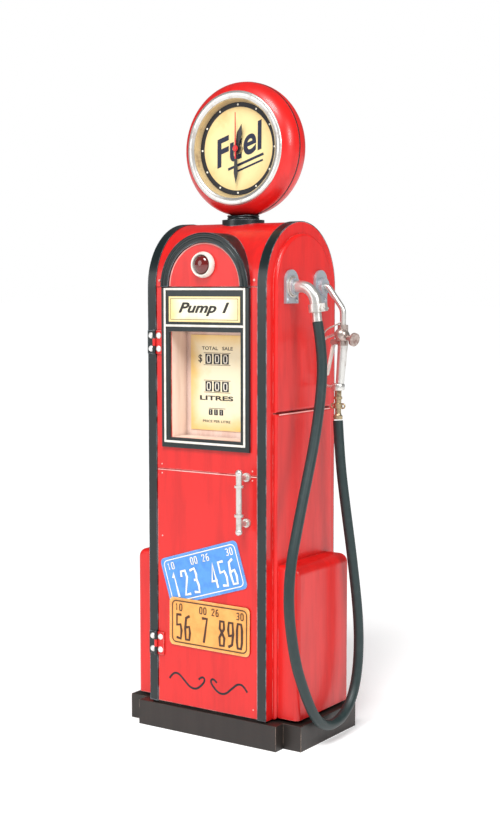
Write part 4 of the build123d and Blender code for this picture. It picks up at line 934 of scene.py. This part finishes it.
class PUMP_OT_globe(bpy.types.Operator):
    """Model the bezel, the globe's seam, and the dial's ring, dots and word"""

    bl_idname = "pump.globe"
    bl_label = "Globe and Clock"

    def execute(self, context):
        dial = context.scene.pump_dial
        bezel_low, bezel_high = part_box("clock_bezel")
        outer = (bezel_high.x - bezel_low.x) / 2
        depth = bezel_high.y - bezel_low.y
        wall = (high("dial_wall").x - low("dial_wall").x) / 2
        profile = [
            (outer, 0.0), (outer, 0.25 * depth), (outer - 0.7 * MM, 0.7 * depth), (outer - 2.2 * MM, depth),
            (outer - 4.0 * MM, 0.97 * depth), (outer - 5.6 * MM, 0.80 * depth), (wall + 1.2 * MM, 0.55 * depth),
            (wall + 0.1 * MM, 0.30 * depth), (wall + 0.1 * MM, 0.0),
        ]
        bezel = turned("bezel_rolled", profile, FORWARD, (0, bezel_high.y, CLOCK.z), 120, ring=True, angle=50)
        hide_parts("clock_bezel")
        dressed(bezel, "silver_metal")

        shell = (high("globe_front_shell").x - low("globe_front_shell").x) / 2
        proud, sunk, width = shell + 0.25 * MM, shell - 0.6 * MM, 1.5 * MM
        groove = [(proud, 0), (proud, width), (sunk, width), (sunk, 0)]
        back = high("globe_front_shell").y
        seam = turned("globe_seam_groove", groove, (0, 1, 0), (0, back, CLOCK.z), 120, ring=True)
        dressed(seam, "number_ink")

        face = low("dial_face").y
        outer, inner = dial.ring_outer, dial.ring_inner
        profile = [(outer, 0), (outer, DOT_RING_PROUD), (inner, DOT_RING_PROUD), (inner, 0)]
        ring = turned("dot_ring", profile, FORWARD, (0, face, CLOCK.z), 120, ring=True)
        dressed(ring, "number_ink")
        steps = [(dial.dot, 0), (dial.dot, 0.12 * MM), (0.7 * dial.dot, 0.2 * MM)]
        reach = (outer + inner) / 2
        dots = []
        for hour in range(12):
            turn = radians(30 * hour)
            place = (reach * sin(turn), face - DOT_RING_PROUD, CLOCK.z + reach * cos(turn))
            dots.append(turned(f"dot_{hour}", steps, FORWARD, place, 16))
        dressed(joined("hour_dots", dots), "dot_white")

        tilt = degrees(dial.tilt)
        word = lettering(
            "dial_word", dial.word, WORD_SIZE[1], (WORD_PLACE[0], face, CLOCK.z + WORD_PLACE[1]), 0.05 * MM,
            0.2 * MM, width=WORD_SIZE[0], slant=0.35, weight=0.02, turn=-tilt,
        )
        dressed(word, "navy_ink")
        bars = [
            slab(name, width * MM, height * MM, 0.2 * MM, 0, (x * MM, face, CLOCK.z - drop * MM), -tilt, 0)
            for name, width, height, x, drop in UNDERLINES
        ]
        dressed(joined("dial_underlines", bars), "navy_ink")
        return {"FINISHED"}


BEAD_WIDTH = 2.2 * MM
BEAD_CROSS_DROP = 3.8 * MM
SIGN_INSET = 2.0 * MM
SIGN_LINE = 0.45 * MM
# The card's captions: name, text, drop below the card's top, height, width, x of the middle, in mm, and weight.
CARD_CAPTIONS = (
    ("caption_total", "TOTAL   SALE", 13, 3.4, 37, -4.5, 0.012),
    ("dollar", "$", 23.5, 8.5, 4.5, -25, 0.012),
    ("caption_volume", "LITRES", 62, 4.6, 40, -5.5, 0.03),
    ("caption_rate", "PRICE PER LITRE", 85, 2.4, 33, -5.5, 0.012),
)
# Its rows of three number windows: name, digit, x of the first, pitch, drop, width, height and digit, in mm.
CARD_WINDOWS = (
    ("sale", "0", -14.8, 10, 23.5, 8.0, 10.0, 7.2),
    ("volume", "0", -14.8, 10, 50.5, 8.0, 10.0, 7.2),
    ("price", "1", -12.6, 6.4, 76, 4.4, 5.6, 3.8),
)
WINDOW_PROUD = 0.14 * MM
# Its ruled lines: name, drop and half length, in mm, all about one middle.
CARD_RULES = (("a", 17.6, 16), ("b", 29.4, 16), ("c", 44.6, 16), ("d", 56.4, 16), ("e", 72.2, 10))
CARD_RULES_X = -4.8 * MM


class PUMP_OT_window(bpy.types.Operator):
    """Model the window's bead, the sign's words and the register card's print"""

    bl_idname = "pump.window"
    bl_label = "Window, Sign and Card"

    def execute(self, context):
        self.model_bead()
        self.model_sign(context.scene.pump_lettering.sign)
        self.model_card()
        return {"FINISHED"}

    def model_bead(self):
        lowest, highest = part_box("window_bead")
        width = BEAD_WIDTH
        cross = low("sign_panel").z - BEAD_CROSS_DROP
        left, right = lowest.x + width, highest.x - width
        bars = [
            ("left", lowest.x, left, lowest.z, highest.z),
            ("right", right, highest.x, lowest.z, highest.z),
            ("bottom", left, right, lowest.z, lowest.z + width),
            ("top", left, right, highest.z - width, highest.z),
            ("cross", left, right, cross - width / 2, cross + width / 2),
        ]
        front, back = lowest.y - 0.2 * MM, highest.y
        pieces = [block(f"bead_{n}", (x0, front, z0), (x1, back, z1), 0.0004, 3) for n, x0, x1, z0, z1 in bars]
        bead = joined("window_bead_rounded", pieces)
        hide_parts("window_bead")
        dressed(bead, "white_line", "door")

    def model_sign(self, words):
        lowest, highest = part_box("sign_panel")
        front = lowest.y
        centre = (lowest + highest) / 2
        word = lettering(
            "sign_words", words, 13 * MM, (centre.x, front, centre.z), 0.05 * MM, 0.15 * MM, width=60 * MM,
            slant=0.35, weight=0.03,
        )
        dressed(word, "ink", "door")
        x0, x1 = lowest.x + SIGN_INSET, highest.x - SIGN_INSET
        z0, z1 = lowest.z + SIGN_INSET, highest.z - SIGN_INSET
        sides = (
            ("l", x0, x0 + SIGN_LINE, z0, z1), ("r", x1 - SIGN_LINE, x1, z0, z1),
            ("b", x0, x1, z0, z0 + SIGN_LINE), ("t", x0, x1, z1 - SIGN_LINE, z1),
        )
        outline = [
            block(f"outline_{name}", (a, front - 0.12 * MM, c), (b, front + 0.05 * MM, d), 0.00003, 1)
            for name, a, b, c, d in sides
        ]
        dressed(joined("sign_outline", outline), "brown_ink", "door")

    def model_card(self):
        card_low, card_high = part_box("register_card")
        card, top = card_low.y, card_high.z
        captions = [
            lettering(
                name, text, height * MM, (x * MM, card, top - drop * MM), 0.04 * MM, 0.12 * MM,
                width=width * MM, weight=weight,
            )
            for name, text, drop, height, width, x, weight in CARD_CAPTIONS
        ]
        dressed(joined("card_captions", captions), "ink", "door")

        def at_window(x, drop):
            return lambda dx, dz: ((x + dx) * MM, card - WINDOW_PROUD, top + (dz - drop) * MM)

        windows, digits = [], []
        for i in range(3):
            for row, text, first, pitch, drop, width, height, digit in CARD_WINDOWS:
                name, x = f"{row}_{i}", first + pitch * i
                place = (x * MM, card, top - drop * MM)
                windows.append(
                    slab(f"{name}_window", width * MM, height * MM, WINDOW_PROUD, 0.4 * MM, place, 0, 0)
                )
                pen = 0.075 * width * MM
                digits += stamped(name, text, digit * MM, 0.85 * width * MM, at_window(x, drop), 0, pen)
        dressed(joined("number_windows", windows), "number_ink", "door")
        dressed(joined("window_digits", digits), "dot_white", "door")
        lines = []
        for name, drop, half in CARD_RULES:
            place = (CARD_RULES_X, card, top - drop * MM)
            lines.append(slab(f"rule_{name}", 2 * half * MM, 0.5 * MM, 0.1 * MM, 0, place, 0, 0))
        dressed(joined("card_rules", lines), "brown_ink", "door")


DOOR_SEAM = 263.5 * MM
# The nails beside the seam, the two odd ones as (x, z) in mm, and the flourish's two waves as (x, z) in mm.
SEAM_NAIL_X, SEAM_NAIL_RISE = mm(54, 4.5)
ODD_NAILS = ((55, 36), (-54, 196))
FLOURISH = (
    ((-46, 52), (-42, 58), (-35, 59), (-28, 53), (-20, 46), (-12, 46), (-5, 52), (-2, 57), (-6, 60), (-10, 56)),
    ((48, 52), (44, 58), (37, 59), (30, 53), (22, 46), (14, 46), (7, 52), (4, 57), (8, 60), (12, 56)),
)


class PUMP_OT_door_trim(bpy.types.Operator):
    """Model the nail heads and the lip by the door's seam, both pink as a painted highlight, and the painted
    flourish at its foot
    """

    bl_idname = "pump.door_trim"
    bl_label = "Door Trim"

    def execute(self, context):
        front = DOOR_FRONT
        nails = [
            (side * SEAM_NAIL_X, front, DOOR_SEAM + rise * SEAM_NAIL_RISE)
            for side in (-1, 1) for rise in (-1, 1)
        ]
        nails += [(x * MM, front, z * MM) for x, z in ODD_NAILS]
        # Pink nail heads: a painted highlight on each dome.
        dressed(domes("door_nails", nails, 0.8 * MM, 0.5 * MM), "pink_highlight", "door")
        # A pink lip under the seam: a painted highlight along its edge.
        lowest = (-59 * MM, front - 0.25 * MM, DOOR_SEAM - 1.5 * MM)
        lip = block("door_seam_lip", lowest, (59 * MM, front, DOOR_SEAM - 0.7 * MM), 0.0001)
        dressed(lip, "pink_highlight", "door")

        strokes = [
            rod(f"flourish_{i}", [(x * MM, front, z * MM) for x, z in wave], 1.1 * MM)
            for i, wave in enumerate(FLOURISH)
        ]
        flourish = joined("door_flourish", strokes)
        edit_all(flourish)
        bpy.ops.transform.resize(value=(1, 0.15, 1), center_override=(0, front, 0))
        leave_edit()
        dressed(flourish, "number_ink", "door")
        return {"FINISHED"}


# The pale lip of a side panel's seam, pink as a painted highlight: half its length, its lower and upper edge, and
# how far it stands out.
SIDE_LIP_HALF, SIDE_LIP_LOW, SIDE_LIP_HIGH, SIDE_LIP_PROUD = mm(47, 321.0, 322.2, 0.35)


class PUMP_OT_side(bpy.types.Operator):
    """Model the pale lip of each side panel's seam, pink as a painted highlight along it"""

    bl_idname = "pump.side"
    bl_label = "Side Seams"

    def execute(self, context):
        for side, node in ((1, "right_side_panel"), (-1, "left_side_panel")):
            lowest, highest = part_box(node)
            face = highest.x if side > 0 else lowest.x
            inner, outer = sorted((face, face + side * SIDE_LIP_PROUD))
            ends = (inner, -SIDE_LIP_HALF, SIDE_LIP_LOW), (outer, SIDE_LIP_HALF, SIDE_LIP_HIGH)
            dressed(block(f"{node}_lip", *ends, 0.0001), "pink_highlight")
        return {"FINISHED"}


OUTLET_CENTRE = mm(76.5, -27.5, 443)
# Sizes of the fittings in mm: the rings' radius and rise, the profiles' radius and height, and for the link
# x, y and the height above the valve's top.
OUTLET_RINGS = ((10.4, 1.1), (8.6, 2.6))
SWIVEL_COLLAR = ((4.2, 0), (6.0, 0.4), (6.5, 1.4), (6.5, 5.6), (6.0, 6.6), (4.4, 7.0))
SWIVEL_NECK = (
    (4.5, 0), (4.6, 3.2), (3.5, 4.2), (3.0, 6.0), (3.0, 10.2), (4.4, 10.8), (4.4, 15.2), (3.2, 15.8), (3.2, 19.4),
    (4.2, 19.8), (4.2, 21.9), (3.3, 22.4), (3.3, 28.4),
)
NUT_WING_REACH, NUT_WING_HEIGHT = mm(5.4, 13)
VALVE_CENTRE, VALVE_AXIS = mm(100.5, 24, 396), (0.5, -0.85, 0.1)
VALVE_LINK = ((101, 24, 3), (94, 20, -1), (86, 17, -5), (84, 18, -9))


def in_metres(profile):
    return [mm(*step) for step in profile]


class PUMP_OT_fittings(bpy.types.Operator):
    """Model the rings of the outlet, the swivel's collar and neck, and the link above the valve"""

    bl_idname = "pump.fittings"
    bl_label = "Outlet and Nozzle"

    def execute(self, context):
        rings = []
        for i, (radius, rise) in enumerate(OUTLET_RINGS):
            inner = radius - 1.8
            steps = ((radius, 0), (radius, rise), (radius - 0.9, rise + 0.4), (inner, rise), (inner, 0))
            rings.append(turned(f"outlet_ring_{i}", in_metres(steps), (1, 0, 0), OUTLET_CENTRE, 48, ring=True))
        dressed(joined("outlet_rings", rings), "silver_metal")

        bottom, top = low("hose_swivel").z, high("hose_swivel").z
        x, y = middle("hose_swivel").x, middle("hose_swivel").y
        collar = turned("swivel_collar", in_metres(SWIVEL_COLLAR), UPWARD, (x, y, top - 7 * MM))
        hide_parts("hose_swivel")
        dressed(collar, "silver_metal", "nozzle")
        neck = turned("swivel_neck", in_metres(SWIVEL_NECK), UPWARD, (x, y, bottom))
        wings = [
            bead_arc(
                f"nut_wing_{side}", 2.2 * MM, 0.8 * MM,
                (x + side * NUT_WING_REACH, y, bottom + NUT_WING_HEIGHT), 0, 360,
            )
            for side in (-1, 1)
        ]
        body = joined("swivel_neck", [neck] + wings)
        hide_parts("hose_swivel")
        dressed(body, "brass", "nozzle")

        steps = [(6.9 * MM, 0), (6.9 * MM, 1.2 * MM)]
        steps += [(6.5 * MM * cos(radians(a)), (1.6 + 5.4 * sin(radians(a))) * MM) for a in (8, 26, 44, 62, 78)]
        bulb = turned("valve_bulb", steps, VALVE_AXIS, VALVE_CENTRE, 48, angle=50)
        dressed(bulb, "cast_metal", "nozzle")
        valve_top = high("valve_body").z
        points = [(x * MM, y * MM, valve_top + rise * MM) for x, y, rise in VALVE_LINK]
        dressed(rod("valve_link", points, 0.8 * MM), "cast_metal", "nozzle")
        return {"FINISHED"}


STROKES = {
    "0": [[(0, 0.25), (0, 0.75), (0.15, 1), (0.85, 1), (1, 0.75), (1, 0.25), (0.85, 0), (0.15, 0), (0, 0.25)]],
    "1": [[(0.2, 0.82), (0.5, 1), (0.5, 0)]],
    "2": [[(0, 0.78), (0.12, 1), (0.88, 1), (1, 0.72), (0, 0.02), (1, 0.02)]],
    "3": [
        [(0, 0.95), (0.85, 1), (1, 0.75), (0.85, 0.53), (0.4, 0.53)],
        [(0.85, 0.53), (1, 0.28), (0.85, 0), (0, 0.05)],
    ],
    "4": [[(0.78, 0), (0.78, 1), (0, 0.3), (1, 0.3)]],
    "5": [[(0.95, 1), (0.05, 1), (0.02, 0.56), (0.8, 0.6), (1, 0.35), (0.85, 0), (0, 0.04)]],
    "6": [[(0.9, 1), (0.2, 0.9), (0, 0.45), (0.12, 0), (0.88, 0), (1, 0.3), (0.85, 0.55), (0.05, 0.5)]],
    "7": [[(0, 1), (1, 1), (0.35, 0)]],
    "8": [
        [(0.5, 0.54), (0.06, 0.7), (0.12, 1), (0.88, 1), (0.94, 0.7), (0.5, 0.54)],
        [(0.5, 0.54), (0, 0.32), (0.1, 0), (0.9, 0), (1, 0.32), (0.5, 0.54)],
    ],
    "9": [[(0.1, 0), (0.8, 0.1), (1, 0.55), (0.88, 1), (0.12, 1), (0, 0.7), (0.15, 0.45), (0.95, 0.5)]],
}


def stamped(name, text, height, pitch, at, z, radius):
    """Raised digits of one stroke width. at places (x, z), in mm on the plate, in space."""
    pieces = []
    width = 0.56 * pitch
    for i, letter in enumerate(text):
        left = (i - len(text) / 2 + 0.5) * pitch - width / 2
        for j, stroke in enumerate(STROKES.get(letter, ())):
            points = [at((left + x * width) / MM, z + (zz - 0.5) * height / MM) for x, zz in stroke]
            pieces.append(stroke_rod(f"{name}_{i}_{j}", points, radius))
    return pieces


def stroke_rod(name, points, radius, closed=False):
    """A round bead half sunk in the face it lies on."""
    piece = line_through(name, points, "POLY", closed=closed)
    thicken(piece, radius, 2)
    bead = as_mesh(piece)
    edit_all(bead)
    bpy.ops.transform.resize(value=(1, 0.35, 1), center_override=(0, points[0][1], 0))
    leave_edit()
    return smooth(mend(bead), 60)


def plate_rim(name, half_width, half_height, corner, at, radius):
    """A raised bead round a plate with rounded corners, sizes in mm."""
    outline = []
    for cx, cz, start in ((1, 1, 0), (-1, 1, 90), (-1, -1, 180), (1, -1, 270)):
        centre = (cx * (half_width - corner), cz * (half_height - corner))
        outline += arc(centre, corner, start, start + 90, 5)
    return stroke_rod(name, [at(x, z) for x, z in outline], radius, closed=True)


# The plates' turn in degrees, and the sizes of their number, series and rim. Rises and the rim are in mm.
PLATE_TURNS = {"blue_plate": -17.3, "orange_plate": 0.3}
NUMBER_HEIGHT, NUMBER_WIDTH, NUMBER_BEAD = mm(24, 83, 1.3)
NUMBER_RISE = -5
SERIES_TEXT = "10    00 26    30"
SERIES_HEIGHT, SERIES_PITCH, SERIES_BEAD = mm(6.5, 4.9, 0.55)
SERIES_RISE = 14.5
RIM_HALF_WIDTH, RIM_HALF_HEIGHT, RIM_CORNER = 44.5, 20.8, 4.5


class PUMP_OT_plates(bpy.types.Operator):
    """Model the raised numbers and rims of the two number plates"""

    bl_idname = "pump.plates"
    bl_label = "Number Plates"

    def execute(self, context):
        lettering_of = context.scene.pump_lettering
        for node, text, ink in (
            ("blue_plate", lettering_of.blue_number, "dot_white"),
            ("orange_plate", lettering_of.orange_number, "brown_paint"),
        ):
            turn = radians(PLATE_TURNS[node])
            place = middle(node)
            front = low(node).y
            across = Vector((cos(turn), 0, -sin(turn)))
            up = Vector((sin(turn), 0, cos(turn)))

            def at(x, z):
                spot = place + across * x * MM + up * z * MM
                return (spot.x, front, spot.z)

            pitch = NUMBER_WIDTH / len(text)
            pieces = stamped(f"{node}_number", text, NUMBER_HEIGHT, pitch, at, NUMBER_RISE, NUMBER_BEAD)
            pieces += stamped(
                f"{node}_series", SERIES_TEXT, SERIES_HEIGHT, SERIES_PITCH, at, SERIES_RISE, SERIES_BEAD
            )
            dressed(joined(f"{node}_digits", pieces), ink, "door")
            rim = plate_rim(f"{node}_rim", RIM_HALF_WIDTH, RIM_HALF_HEIGHT, RIM_CORNER, at, SERIES_BEAD)
            dressed(rim, ink, "door")
        return {"FINISHED"}


class PUMP_PT_panel(bpy.types.Panel):
    """Sizes, colours and operators of the fuel pump"""

    bl_idname = "PUMP_PT_panel"
    bl_label = "Fuel Pump"
    bl_space_type = "VIEW_3D"
    bl_region_type = "UI"
    bl_category = "Fuel Pump"

    def draw(self, context):
        layout = self.layout
        for attribute, group in GROUPS.items():
            box = layout.box()
            box.label(text=group.__doc__.splitlines()[0])
            for field in group.__annotations__:
                box.prop(getattr(context.scene, attribute), field)
        for operator in OPERATORS:
            layout.operator(operator.bl_idname)


GROUPS = {
    "pump_colours": PumpColours,
    "pump_hose": PumpHose,
    "pump_dial": PumpDial,
    "pump_lettering": PumpLettering,
    "pump_stage": PumpStage,
}
OPERATORS = (
    PUMP_OT_stage, PUMP_OT_hose, PUMP_OT_finishes, PUMP_OT_roof, PUMP_OT_globe, PUMP_OT_window, PUMP_OT_door_trim,
    PUMP_OT_plates, PUMP_OT_side, PUMP_OT_fittings,
)


def register():
    for attribute, group in GROUPS.items():
        bpy.utils.register_class(group)
        setattr(bpy.types.Scene, attribute, bpy.props.PointerProperty(type=group))
    for cls in (*OPERATORS, PUMP_PT_panel):
        bpy.utils.register_class(cls)


def unregister():
    for cls in (PUMP_PT_panel, *reversed(OPERATORS)):
        bpy.utils.unregister_class(cls)
    for attribute, group in reversed(list(GROUPS.items())):
        delattr(bpy.types.Scene, attribute)
        bpy.utils.unregister_class(group)


def main():
    register()
    for operator in OPERATORS:
        category, name = operator.bl_idname.split(".")
        getattr(getattr(bpy.ops, category), name)()
    deselect()


if __name__ == "__main__":
    main()
